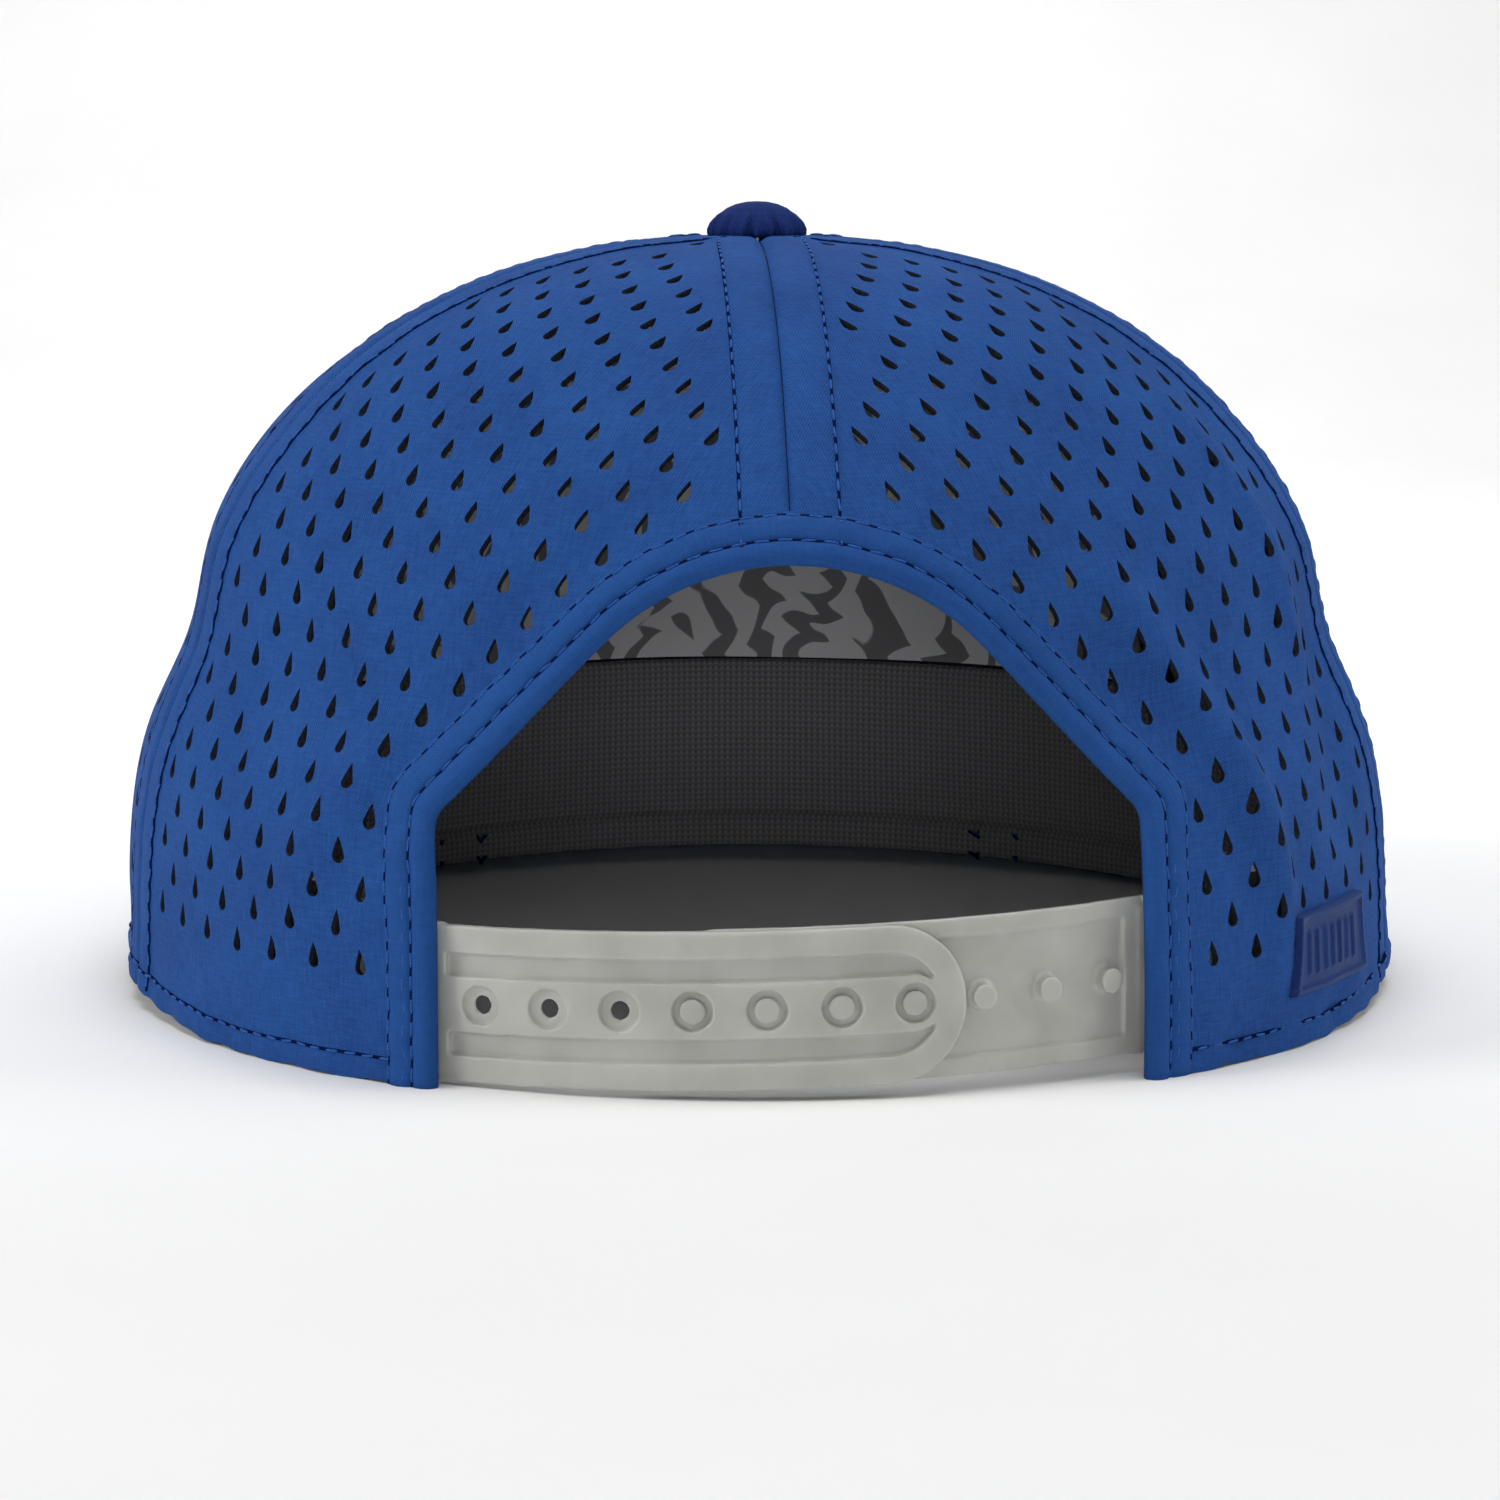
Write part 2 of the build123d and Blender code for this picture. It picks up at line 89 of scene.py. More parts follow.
def visor_top(x, y):
    """Height of the visor's upper face."""
    return VISOR_CENTRE_Z - (VISOR_BEND_R - np.sqrt(VISOR_BEND_R ** 2 - x * x)) + y * VISOR_SLOPE


def rim_height(phi):
    """Height of the crown's lower edge."""
    turn = np.abs((phi + 180.0) % 360.0 - 180.0)
    top = visor_top(HALF_WIDTH * np.sin(np.radians(turn)), -HALF_LENGTH * np.cos(np.radians(turn)))
    share = smooth((turn - VISOR_CORNER) / RIM_FALL)
    return np.maximum((top + RIM_CLEARANCE) * (1 - share) - RIM_TRIM * share, 0.0)


def fullness(phi):
    along = -np.cos(np.radians(phi))
    end = np.where(along > 0, FULLNESS_BACK, FULLNESS_FRONT)
    return FULLNESS_SIDE + (end - FULLNESS_SIDE) * along ** 2


def profile(phi, theta):
    """Share of the full radius, and share of the height."""
    power = fullness(phi)
    reach = (np.cos(theta) ** power + np.sin(theta) ** power) ** (-1 / power)
    rise = reach * np.sin(theta)
    return reach * np.cos(theta) * (1 - WAIST * np.exp(-((rise - WAIST_HEIGHT) / WAIST_SPREAD) ** 2)), rise


def crown(phi, theta):
    """Points of the smooth crown's outer face."""
    phi, theta = np.broadcast_arrays(np.asarray(phi, float), np.asarray(theta, float))
    out, rise = profile(phi, theta)
    rim = rim_height(phi)
    return np.stack([HALF_WIDTH * np.sin(np.radians(phi)) * out, -HALF_LENGTH * np.cos(np.radians(phi)) * out,
                     rim + (CROWN_HEIGHT - rim) * rise], -1)


def crown_normal(phi, theta):
    step = 0.02
    across = crown(phi + step, theta) - crown(phi - step, theta)
    up = crown(phi, theta + np.radians(step)) - crown(phi, np.maximum(theta - np.radians(step), 0))
    normal = np.cross(across, up)
    return normal / np.linalg.norm(normal, axis=-1, keepdims=True)


def degree_width(angle, theta):
    """Millimetres along the crown for one degree of plan angle."""
    turn = np.radians(angle)
    spread = np.hypot(HALF_WIDTH * np.cos(turn), HALF_LENGTH * np.sin(turn))
    return np.radians(1) * spread * profile(angle, theta)[0]


def theta_at(phi, height):
    """Profile angle at a height above the table."""
    rim = rim_height(phi)
    rise = np.clip((height - rim) / (CROWN_HEIGHT - rim), 0.0, 1.0)
    power = fullness(phi)
    return np.arctan2(rise, (1 - rise ** power) ** (1 / power))


def theta_at_radius(radius):
    return np.arccos(radius / HALF_WIDTH)


# ---- lines ----
def resample(points, step):
    """Even points along a polyline."""
    length = lengths_along(points)
    at = np.linspace(0, length[-1], max(2, int(round(length[-1] / step)) + 1))
    return at_lengths(points, length, at)


def lengths_along(points):
    return np.concatenate([[0], np.cumsum(np.linalg.norm(np.diff(points, axis=0), axis=1))])


def at_lengths(points, length, at):
    return np.stack([np.interp(at, length, points[:, k]) for k in range(points.shape[1])], -1)


def nearest(points, line):
    """Distance from each point to the nearest of a line's points, and which one it is."""
    best = np.empty(len(points))
    index = np.empty(len(points), int)
    square = (line ** 2).sum(1)
    for start in range(0, len(points), 4000):
        part = points[start:start + 4000]
        gap = (part ** 2).sum(1)[:, None] + square - 2 * part @ line.T
        index[start:start + 4000] = gap.argmin(1)
        best[start:start + 4000] = np.sqrt(np.maximum(gap.min(1), 0))
    return best, index


def inside(points, polygon):
    """Which points lie inside a polygon."""
    x, y = points[:, 0:1], points[:, 1:2]
    ax, ay = polygon[:, 0], polygon[:, 1]
    bx, by = np.roll(ax, -1), np.roll(ay, -1)
    crossing = (ay > y) != (by > y)
    at = ax + (y - ay) * (bx - ax) / np.where(by == ay, 1e-9, by - ay)
    return (crossing & (x < at)).sum(1) % 2 == 1


def window_outline(margin, step=0.8, floor=0.0):
    """Points (x, z) round the window grown by a margin, from the wearer's left foot to the right foot."""
    half = WINDOW_HALF_WIDTH + margin
    arch = WINDOW_ARCH_R + margin
    bend = WINDOW_CORNER_R + margin
    centre = WINDOW_TOP - WINDOW_ARCH_R
    shoulder = centre + 2 * arch * np.sin(np.radians(45)) - half
    cut = bend * np.tan(np.radians(22.5))
    sweep = np.radians(np.linspace(0, 45, 12))
    corner = np.stack([half - bend + bend * np.cos(sweep), shoulder - cut + bend * np.sin(sweep)], -1)
    over = np.radians(np.linspace(45, 135, 60))
    top = np.stack([arch * np.cos(over), centre + arch * np.sin(over)], -1)
    left = np.vstack([[[half, floor]], corner])
    return resample(np.vstack([left, top, left[::-1] * (-1, 1)]), step)


def window_to_crown(outline):
    """Plan and profile angles of points (x, z) on the back of the crown."""
    x, z = outline[:, 0], outline[:, 1]
    phi = np.full(len(x), CENTRE_BACK)
    for _ in range(12):
        theta = theta_at(phi, z)
        phi = CENTRE_BACK - np.degrees(np.arcsin(np.clip(x / (HALF_WIDTH * profile(phi, theta)[0]), -1, 1)))
    return phi, theta


# ---- relief of the sewn cloth, in millimetres outward from the smooth crown ----
TOPSTITCH = 6.4             # from a seam to the stitch row on each side of it
WINDOW_ROWS = (2.3, 5.3)    # stitch rows round the window
HEM_ROW = 3.2               # stitch row above the rim
STITCH_PITCH = 3.0
BINDING_WIDTH = 5.8
BINDING_SEAT = 0.45         # how far the binding presses the panel in
WINDOW_EDGE = crown(*window_to_crown(window_outline(0.0)))

# Folds of the worn cloth: (plan angle, height) along each, then its height outward and its half width.
FOLDS = (
    (((211, 68), (216, 57), (221.5, 45), (224.5, 33), (226, 21), (226, 7)), 3.0, 4.2),
    (((205, 58), (210, 46), (213.5, 32), (215, 14)), -2.2, 6.5),
    (((238, 86), (239.5, 70), (240, 57), (244, 44)), 1.7, 3.6),
    (((248, 56), (244, 40), (238, 24)), -1.6, 6.5),
    (((160, 64), (150, 51), (142, 40), (136, 29), (133, 16)), 2.3, 6.5),
    (((166, 74), (154, 58), (147, 46), (142, 34)), -2.3, 5.0),
    (((151, 35), (145, 27), (141, 16)), 1.6, 3.6),
    (((128, 62), (123, 48), (122, 34)), -0.9, 8.0),
    (((85, 70), (80, 52), (84, 36)), -0.8, 9.0),
    (((290, 72), (283, 54), (279, 38)), -0.9, 9.0),
    (((64, 60), (70, 44), (66, 30)), 0.7, 7.0),
    (((300, 56), (294, 42), (297, 30)), 0.7, 7.0),
)


def dip(distance, width):
    return np.exp(-(distance / width) ** 2)


def fold_relief(point, line, height, width):
    """A ridge or valley that fades out at both ends."""
    line = resample(np.array(line, float), 0.6)
    distance, index = nearest(point, crown(line[:, 0], theta_at(line[:, 0], line[:, 1])))
    return height * np.sin(np.pi * (index + 0.5) / len(line)) ** 0.6 * dip(distance, width)


def relief(phi, theta, sewn):
    """Folds and slow waves of the cloth, and, where it is sewn, its seams, hem and window edge as well."""
    point = crown(phi, theta)
    scale = np.radians(1) * 0.5 * (HALF_WIDTH + HALF_LENGTH) * profile(phi, theta)[0]
    seam = np.min([np.abs((phi - angle + 180) % 360 - 180) * scale for angle in SEAMS], axis=0)
    above = point[:, 2] - rim_height(phi)
    edge, _ = nearest(point, WINDOW_EDGE)
    edge = np.where(point[:, 1] > 0, edge, 99.0)
    held = smooth((seam - 3) / 14) * smooth((edge - 4) / 10) * smooth(above / 12)
    wave = np.sin(point[:, 0] / 15 + 1.3) * np.sin(point[:, 2] / 13) * np.cos(point[:, 1] / 17 + 0.4)
    total = 0.7 * wave * held + sum(fold_relief(point, *fold) for fold in FOLDS) * (0.3 + 0.7 * held)
    if sewn:
        pressed = BINDING_SEAT * (edge < BINDING_WIDTH - 0.3)
        total = total + seam_relief(point, seam) + hem_relief(phi, above) - pressed
    return total


def seam_relief(point, seam):
    """A groove at the seam, the folded allowance on both sides of it, and the topstitching's tug."""
    along = point[:, 2] + 0.35 * np.hypot(point[:, 0], point[:, 1])
    puckers = np.sin(along / 1.9) * np.sin(along / 5.3)
    tug = 0.18 + 0.08 * np.sin(2 * np.pi * along / STITCH_PITCH)
    return (0.38 * (1 - smooth((seam - TOPSTITCH + 0.3) / 1.0)) - 0.75 * dip(seam, 0.7)
            - tug * dip(seam - TOPSTITCH, 0.6) + 0.16 * puckers * dip(seam - TOPSTITCH / 2, 2.6))


def hem_relief(phi, above):
    """The folded hem, gathered a little by its stitching."""
    along = np.radians(phi) * HALF_WIDTH
    ruck = np.sin(along / 1.7) * np.sin(along / 6.3 + 1) + 0.6 * np.sin(along / 3.9 + 2)
    swell = np.sin(along / 2.6) * np.sin(along / 9)
    return (0.4 * (1 - smooth((above - HEM_ROW) / 0.9)) - 0.3 * dip(above - HEM_ROW, 0.6)
            + 0.3 * ruck * dip(above - 1.5, 2.4) + 0.22 * swell * dip(above - 5, 5))


def cloth(phi, theta, lift=0.0, sewn=True):
    """Points a lift above the cloth's outer face, and the crown's normals there."""
    phi, theta = np.broadcast_arrays(np.asarray(phi, float), np.asarray(theta, float))
    normal = crown_normal(phi, theta)
    offset = relief(phi.ravel(), theta.ravel(), sewn).reshape(phi.shape) + lift
    return crown(phi, theta) + normal * offset[..., None], normal


# ---- meshes ----
def new_piece(name, points, faces, materials, uvs=None):
    """A mesh object from points in millimetres; uvs are the cloth's own flat millimetres."""
    mesh = bpy.data.meshes.new(name)
    mesh.from_pydata((np.asarray(points) * MM).tolist(), [], [list(map(int, face)) for face in faces])
    for material in materials if isinstance(materials, (list, tuple)) else [materials]:
        mesh.materials.append(material)
    if uvs is not None:
        index = np.zeros(len(mesh.loops), int)
        mesh.loops.foreach_get("vertex_index", index)
        mesh.uv_layers.new(name="cloth").data.foreach_set("uv", (np.asarray(uvs)[index] * MM).ravel())
    mesh.polygons.foreach_set("use_smooth", [True] * len(mesh.polygons))
    piece = bpy.data.objects.new(name, mesh)
    bpy.context.scene.collection.objects.link(piece)
    return piece


def apply_modifiers(piece):
    graph = bpy.context.evaluated_depsgraph_get()
    graph.update()
    mesh = bpy.data.meshes.new_from_object(piece.evaluated_get(graph))
    piece.modifiers.clear()
    piece.data = mesh
    return piece


def thicken(piece, thickness, inner_slot=0):
    """Gives a sheet its thickness, inward; the new faces take a later material slot."""
    solid = piece.modifiers.new("thickness", "SOLIDIFY")
    solid.thickness = thickness * MM
    solid.offset = -1
    solid.use_even_offset = False
    solid.material_offset = inner_slot
    # the cut walls take the later slot as well; on the perforated panels its dark colour paints shade into the
    # holes
    solid.material_offset_rim = inner_slot
    apply_modifiers(piece)
    piece.data.set_sharp_from_angle(angle=np.radians(50))
    return piece


def grid_faces(rows, columns, closed=False):
    """Faces of a grid of points; closed joins the last column to the first."""
    index = np.arange(rows * columns).reshape(rows, columns)
    after = np.roll(index, -1, axis=1)
    if not closed:
        index, after = index[:, :-1], after[:, :-1]
    return np.stack([index[:-1], after[:-1], after[1:], index[1:]], -1).reshape(-1, 4)


def swept(name, rings, material, uvs=None):
    """A closed solid through rings of points, shaped (rings, points in a ring, 3), capped at both ends."""
    count, size, _ = rings.shape
    faces = grid_faces(count, size, closed=True).tolist()
    faces.append(list(range(size))[::-1])
    faces.append([(count - 1) * size + k for k in range(size)])
    return new_piece(name, rings.reshape(-1, 3), faces, material, uvs)


def finished(piece, slot, *nodes, body="crown"):
    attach(piece, body)
    if nodes:
        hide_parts(*nodes)
    return piece


def triangulate(loops, extra):
    """Fills the first loop less the others, through extra points: points, faces, the first loop's indices."""
    points = np.vstack([*loops, extra])
    edges, owner, first = [], [], 0
    for number, loop in enumerate(loops):
        edges.extend((first + k, first + (k + 1) % len(loop)) for k in range(len(loop)))
        owner.extend([number] * len(loop))
        first += len(loop)
    owner = np.array(owner + [-1] * len(extra))
    made = geometry.delaunay_2d_cdt([Vector(p) for p in points], edges, [], 0, 1e-5)
    flat = np.array([(v.x, v.y) for v in made[0]])
    faces = np.array(made[2])
    owners = np.array([owner[source[0]] if source else -1 for source in made[3]])[faces]
    in_hole = (owners[:, 0] >= 1) & (owners[:, 0] == owners[:, 1]) & (owners[:, 1] == owners[:, 2])
    faces = faces[inside(flat[faces].mean(1), loops[0]) & ~in_hole]
    order = {source[0]: k for k, source in enumerate(made[3]) if source}
    return flat, faces, [order[k] for k in range(len(loops[0])) if k in order]


STITCH_SHAPE = np.array([-0.3, 0.02, 0.09, 0.11, 0.09, 0.02, -0.3])
THREAD_R = 0.18
THREAD_SIDES = 6
STITCH_LENGTH, STITCH_START = 2.5, 0.3
# radius and drop of the dark tube of painted shade that runs under each stitch row
GROOVE_R, GROOVE_DROP = 0.27, 0.1


def stitches(points, normals):
    """Paths of the stitches laid along a line on the cloth, each dipping in at its ends."""
    along = lengths_along(points)
    made = []
    for first in np.arange(STITCH_START, along[-1] - STITCH_LENGTH, STITCH_PITCH):
        at = first + np.linspace(0, STITCH_LENGTH, len(STITCH_SHAPE))
        base = at_lengths(points, along, at)
        normal = at_lengths(normals, along, at)
        side = np.cross(base[-1] - base[0], normal[0])
        sway = rng.normal(0, 0.05) * np.linspace(-1, 1, len(at))[:, None] * side / np.linalg.norm(side)
        made.append((base + normal * STITCH_SHAPE[:, None] + sway, normal))
    return made


def groove_shade_links(points, normals):
    """Short dark links sunk a little under a line of stitches: painted shade in the groove and in the needle
    holes between stitches.
    """
    along = lengths_along(points)
    made = []
    for first in np.arange(0.0, along[-1] - STITCH_PITCH, STITCH_PITCH):
        at = first + np.linspace(-0.2, STITCH_PITCH + 0.2, len(STITCH_SHAPE))
        normal = at_lengths(normals, along, at)
        made.append((at_lengths(points, along, at) - normal * GROOVE_DROP, normal))
    return made


def thread_piece(name, paths, radius=THREAD_R, material=None, ends=0.4):
    """One mesh of round threads with tapered ends along all the paths."""
    points = np.stack([path for path, _ in paths])
    normals = np.stack([normal for _, normal in paths])
    ahead = np.gradient(points, axis=1)
    side = np.cross(ahead, normals)
    side /= np.linalg.norm(side, axis=-1, keepdims=True)
    up = np.cross(side, ahead)
    up /= np.linalg.norm(up, axis=-1, keepdims=True)
    turn = np.linspace(0, 2 * np.pi, THREAD_SIDES, endpoint=False)
    size = np.full(points.shape[1], radius)
    size[[0, -1]] *= ends
    ring = side[:, :, None] * np.cos(turn)[:, None] + up[:, :, None] * np.sin(turn)[:, None]
    ring = points[:, :, None] + ring * size[None, :, None, None]
    count, rings = points.shape[0], points.shape[1]
    block = rings * THREAD_SIDES
    quads = grid_faces(rings, THREAD_SIDES, closed=True)
    cap = np.arange(THREAD_SIDES)
    faces = []
    for number in range(count):
        faces.extend((quads + number * block).tolist())
        faces.append((cap[::-1] + number * block).tolist())
        faces.append((cap + block - THREAD_SIDES + number * block).tolist())
    return finished(new_piece(name, ring.reshape(-1, 3), faces, material or THREAD), "crown_cloth")


# ---- materials ----
def srgb(red, green, blue):
    """Linear colour from 0-255 display values."""
    value = np.array([red, green, blue]) / 255
    linear = np.where(value <= 0.04045, value / 12.92, ((value + 0.055) / 1.055) ** 2.4)
    return (*linear.tolist(), 1.0)


class Shader:
    """A material, and short ways to add nodes to it."""

    def __init__(self, name, roughness, **sockets):
        self.material = bpy.data.materials.new(name)
        self.material.use_nodes = True
        self.tree = self.material.node_tree
        self.shader = self.tree.nodes["Principled BSDF"]
        self.shader.inputs["Roughness"].default_value = roughness
        for key, value in sockets.items():
            self.shader.inputs[key.replace("_", " ")].default_value = value

    def put(self, value, socket):
        if isinstance(value, bpy.types.NodeSocket):
            self.tree.links.new(value, socket)
        else:
            socket.default_value = value

    def node(self, kind, inputs=None, **settings):
        made = self.tree.nodes.new(kind)
        for key, value in settings.items():
            setattr(made, key, value)
        for key, value in (inputs or {}).items():
            self.put(value, made.inputs[key])
        return made

    def math(self, operation, first, second=0.0, third=0.0):
        return self.node("ShaderNodeMath", {0: first, 1: second, 2: third}, operation=operation).outputs[0]

    def ramp(self, factor, low, high, start, end):
        """A colour between two display colours, as a factor goes from start to end."""
        made = self.node("ShaderNodeValToRGB", {0: factor})
        for element, position, colour in zip(made.color_ramp.elements, (start, end), (low, high)):
            element.position = position
            element.color = srgb(*colour)
        return made.outputs[0]

    def noise(self, vector, detail=3.0):
        inputs = {"Vector": vector, "Scale": 1.0, "Detail": detail}
        return self.node("ShaderNodeTexNoise", inputs).outputs["Fac"]

    def flat(self, across=1.0, along=1.0):
        """The cloth's flat coordinates in millimetres, each times a factor."""
        uv = self.node("ShaderNodeUVMap", uv_map="cloth").outputs[0]
        scale = (across / MM, along / MM, 1)
        return self.node("ShaderNodeMapping", {"Vector": uv, "Scale": scale}).outputs[0]

    def space(self, factor=1.0):
        """The piece's own coordinates in millimetres, times a factor."""
        place = self.node("ShaderNodeTexCoord").outputs["Object"]
        return self.node("ShaderNodeMapping", {"Vector": place, "Scale": (factor / MM,) * 3}).outputs[0]

    def finish(self, colour, height, distance, strength=1.0):
        """Links the colour and a bump of the given depth in millimetres."""
        inputs = {"Height": height, "Distance": distance * MM, "Strength": strength}
        bump = self.node("ShaderNodeBump", inputs)
        self.put(bump.outputs[0], self.shader.inputs["Normal"])
        self.put(colour, self.shader.inputs["Base Color"])
        return self.material


def woven(name, colour, dark, pitch=0.42, depth=0.06):
    """Plain woven cloth: crossing yarns, darker in the gaps between them as painted shade, slubs and a slow drift
    of colour.
    """
    made = Shader(name, 0.8, Specular_IOR_Level=0.12, Sheen_Weight=0.04, Sheen_Roughness=0.5,
                  Sheen_Tint=srgb(*colour))
    split = made.node("ShaderNodeSeparateXYZ", {0: made.flat()})
    warp = made.math("SINE", made.math("MULTIPLY", split.outputs[0], 2 * np.pi / pitch))
    weft = made.math("SINE", made.math("MULTIPLY", split.outputs[1], 2 * np.pi / pitch * 0.9))
    cross = made.math("MULTIPLY", warp, weft)
    slub = made.math("ADD", made.noise(made.flat(2.6, 0.35)), made.noise(made.flat(0.35, 2.6)))
    weave = made.math("MULTIPLY_ADD", cross, 0.3, made.math("MULTIPLY", slub, 0.5))
    drift = made.noise(made.flat(0.06, 0.06), 2.0)
    # colour follows the weave's height: the darker gaps between yarns are painted shade; the slubs and the slow
    # drift are the cloth's own uneven tone
    gap_shade_and_tone = made.math("MULTIPLY_ADD", weave, 0.7, made.math("MULTIPLY", drift, 0.3))
    return made.finish(made.ramp(gap_shade_and_tone, dark, colour, 0.25, 0.75), weave, depth)


def grained(name, colour, dark, roughness, grain=3.0, depth=0.02, **sockets):
    """A plain surface with a fine uneven grain."""
    made = Shader(name, roughness, **sockets)
    fine = made.noise(made.space(grain))
    return made.finish(made.ramp(fine, dark, colour, 0.3, 0.7), fine, depth)


def knit(name, colour, dark, pitch=1.0):
    """Fine knit: upright ribs of small loops, darker in the valleys between the ribs as painted shade."""
    made = Shader(name, 0.85, Specular_IOR_Level=0.2, Sheen_Weight=0.1)
    split = made.node("ShaderNodeSeparateXYZ", {0: made.flat()})
    rib = made.math("PINGPONG", split.outputs[0], pitch / 2)
    turn = made.math("MULTIPLY_ADD", split.outputs[1], 6.5, made.math("MULTIPLY", rib, 6.0))
    height = made.math("MULTIPLY_ADD", made.math("SINE", turn), 0.25, made.math("MULTIPLY", rib, 1.2 / pitch))
    # painted shade: the colour follows the loops' height, so the valleys between the ribs are darker
    return made.finish(made.ramp(height, dark, colour, 0.0, 0.9), height, 0.08)


def zigzag_lining(name):
    """Charcoal jersey with a tonal zigzag of broken bolts."""
    made = Shader(name, 0.6, Specular_IOR_Level=0.3)
    split = made.node("ShaderNodeSeparateXYZ", {0: made.flat()})
    drift = made.math("MULTIPLY", made.noise(made.flat(0.07, 0.05), 0.0), 26.0)
    swing = made.math("PINGPONG", made.math("ADD", split.outputs[1], drift), 4.5)
    bent = made.math("MULTIPLY_ADD", swing, 0.8, made.math("MULTIPLY_ADD", drift, 0.6, split.outputs[0]))
    stripe = made.math("SINE", made.math("MULTIPLY", bent, 2 * np.pi / 9.5))
    broken = made.noise(made.flat(0.16, 0.09), 1.0)
    mark = made.math("MULTIPLY_ADD", broken, 0.9, made.math("MULTIPLY", stripe, 0.22))
    fine = made.noise(made.flat(2.5, 2.5))
    return made.finish(made.ramp(mark, (236, 236, 238), (136, 136, 139), 0.47, 0.51), fine, 0.04)


def milky_plastic(name):
    """Soft translucent plastic, a little cloudy."""
    made = Shader(name, 0.32, IOR=1.46, Transmission_Weight=0.3, Subsurface_Weight=0.6,
                  Subsurface_Radius=(1.0, 1.0, 0.9), Subsurface_Scale=1.5 * MM)
    cloud = made.noise(made.space(0.15), 2.0)
    fine = made.noise(made.space(1.6))
    return made.finish(made.ramp(cloud, (200, 200, 193), (214, 214, 208), 0.3, 0.7), fine, 0.02, 0.6)


ROYAL = woven("royal_cloth", (42, 92, 164), (20, 51, 110))
TRIM = woven("royal_trim", (38, 86, 156), (27, 65, 126), pitch=0.36, depth=0.04)
BUTTON_CLOTH = woven("button_cloth", (24, 52, 118), (14, 32, 82), pitch=0.4)
THREAD = grained("royal_thread", (44, 98, 178), (28, 68, 136), 0.6, 4.0, 0.04, Specular_IOR_Level=0.2)
# painted shade: dark blue for the tubes that stand for the shade in stitch grooves and needle holes
GROOVE_PAINTED_SHADE = grained("groove_painted_shade", (14, 30, 78), (8, 18, 52), 0.9, 4.0, 0.02, Specular_IOR_Level=0.0)
# dark inner side of the cloth; on the perforations' cut walls this colour is painted shade
INNER_FACE_AND_HOLE_SHADE = grained("inner_face_and_hole_shade", (48, 52, 64), (30, 34, 44), 0.9, 2.0, 0.05, Specular_IOR_Level=0.1)
TAPE = woven("tape_cloth", (36, 38, 44), (20, 21, 25), pitch=0.7)
SWEATBAND = knit("sweatband_knit", (150, 150, 153), (104, 104, 107))
LINING = zigzag_lining("zigzag_lining")
PLASTIC = milky_plastic("milky_plastic")
RUBBER = grained("patch_rubber", (26, 56, 116), (20, 46, 100), 0.55, 2.0, 0.015, Specular_IOR_Level=0.18)
FOAM = grained("foam", (52, 52, 54), (30, 30, 32), 0.95, 1.5, 0.1)
MESH_BOARD = grained("stiffener", (216, 214, 206), (188, 186, 178), 0.65, 1.2, 0.05)
BUTTON_METAL = grained("button_metal", (196, 196, 198), (160, 160, 164), 0.35, 1.0, 0.01, Metallic=1.0)


# ---- crown panels ----
GRID_STEP = 1.7
FINE_STEP = 0.9
SEAM_COLUMNS = (0.05, 0.45, 0.95, 1.6, 2.8, 4.2, 5.4, 6.0, 6.4, 6.9, 7.8)
HEM_ROWS = (0.0, 0.6, 1.3, 2.1, 2.8, 3.2, 3.7, 4.6)
WINDOW_TRIM = 1.0           # the panel's raw edge, inside the binding
WINDOW_COLUMNS = (2.6, 4.5, 5.4, 5.9, 6.7)
CLOTH_THICKNESS = 1.0
HOLE_COLUMN, HOLE_ROW = 8.2, 4.7
HOLE_R, HOLE_TIP, HOLE_FLANK = 0.9, 2.55, (0.46, 1.5)
HOLES_FROM_RIM, HOLES_FROM_TOP, HOLES_FROM_WINDOW, HOLES_FROM_SEAM = 14.5, 13.0, 8.0, 9.0


class Gore:
    """A panel laid flat: a is the distance across from its middle line, b the distance up from the rim."""

    def __init__(self, start, end):
        self.start, self.end, self.middle = start, end, (start + end) / 2
        self.theta = np.linspace(0, theta_at_radius(BUTTON_HOLE_R), 500)
        self.height = lengths_along(crown(self.middle, self.theta))
        self.scale = degree_width(self.middle, self.theta)
        self.top = self.height[-1]

    def half(self, b):
        return np.interp(b, self.height, self.scale) * (self.end - self.start) / 2

    def to_crown(self, flat):
        b = flat[:, 1]
        scale = np.interp(b, self.height, self.scale)
        return self.middle + flat[:, 0] / scale, np.interp(b, self.height, self.theta)

    def from_crown(self, phi, theta):
        b = np.interp(theta, self.theta, self.height)
        return np.stack([(phi - self.middle) * np.interp(b, self.height, self.scale), b], -1)

    def window(self, offset):
        """The part of a line round the window that crosses this panel."""
        flat = self.from_crown(*window_to_crown(window_outline(offset, FINE_STEP)))
        return flat[np.abs(flat[:, 0]) < self.half(flat[:, 1]) - 0.3]


def teardrop():
    """Outline of one perforation about the centre of its round end, point up."""
    reach = np.degrees(np.arccos(HOLE_R / HOLE_TIP))
    turn = np.radians(np.linspace(90 + reach, 450 - reach, 11))
    flank = np.array([HOLE_FLANK])
    round_end = np.stack([np.cos(turn), np.sin(turn)], -1) * HOLE_R
    return np.vstack([[[0, HOLE_TIP]], flank * (-1, 1), round_end, flank])


def hole_centres(gore, window):
    """A staggered lattice of perforations, clear of seams, rim, button and window."""
    centres = []
    for row in range(int((gore.top - HOLES_FROM_TOP - HOLES_FROM_RIM) / HOLE_ROW) + 1):
        b = HOLES_FROM_RIM + row * HOLE_ROW
        across = (np.arange(-9, 10) + 0.5 * (row % 2)) * HOLE_COLUMN
        centres.extend((a, b) for a in across if abs(a) < gore.half(b + 1) - HOLES_FROM_SEAM)
    centres = np.array(centres)
    if window:
        point = crown(*gore.to_crown(centres + (0, 0.7)))
        through = inside(point[:, [0, 2]], window_outline(0.0, floor=-9.0))
        centres = centres[(nearest(point, WINDOW_EDGE)[0] > HOLES_FROM_WINDOW) & ~through]
    return centres + rng.normal(0, 0.06, centres.shape)


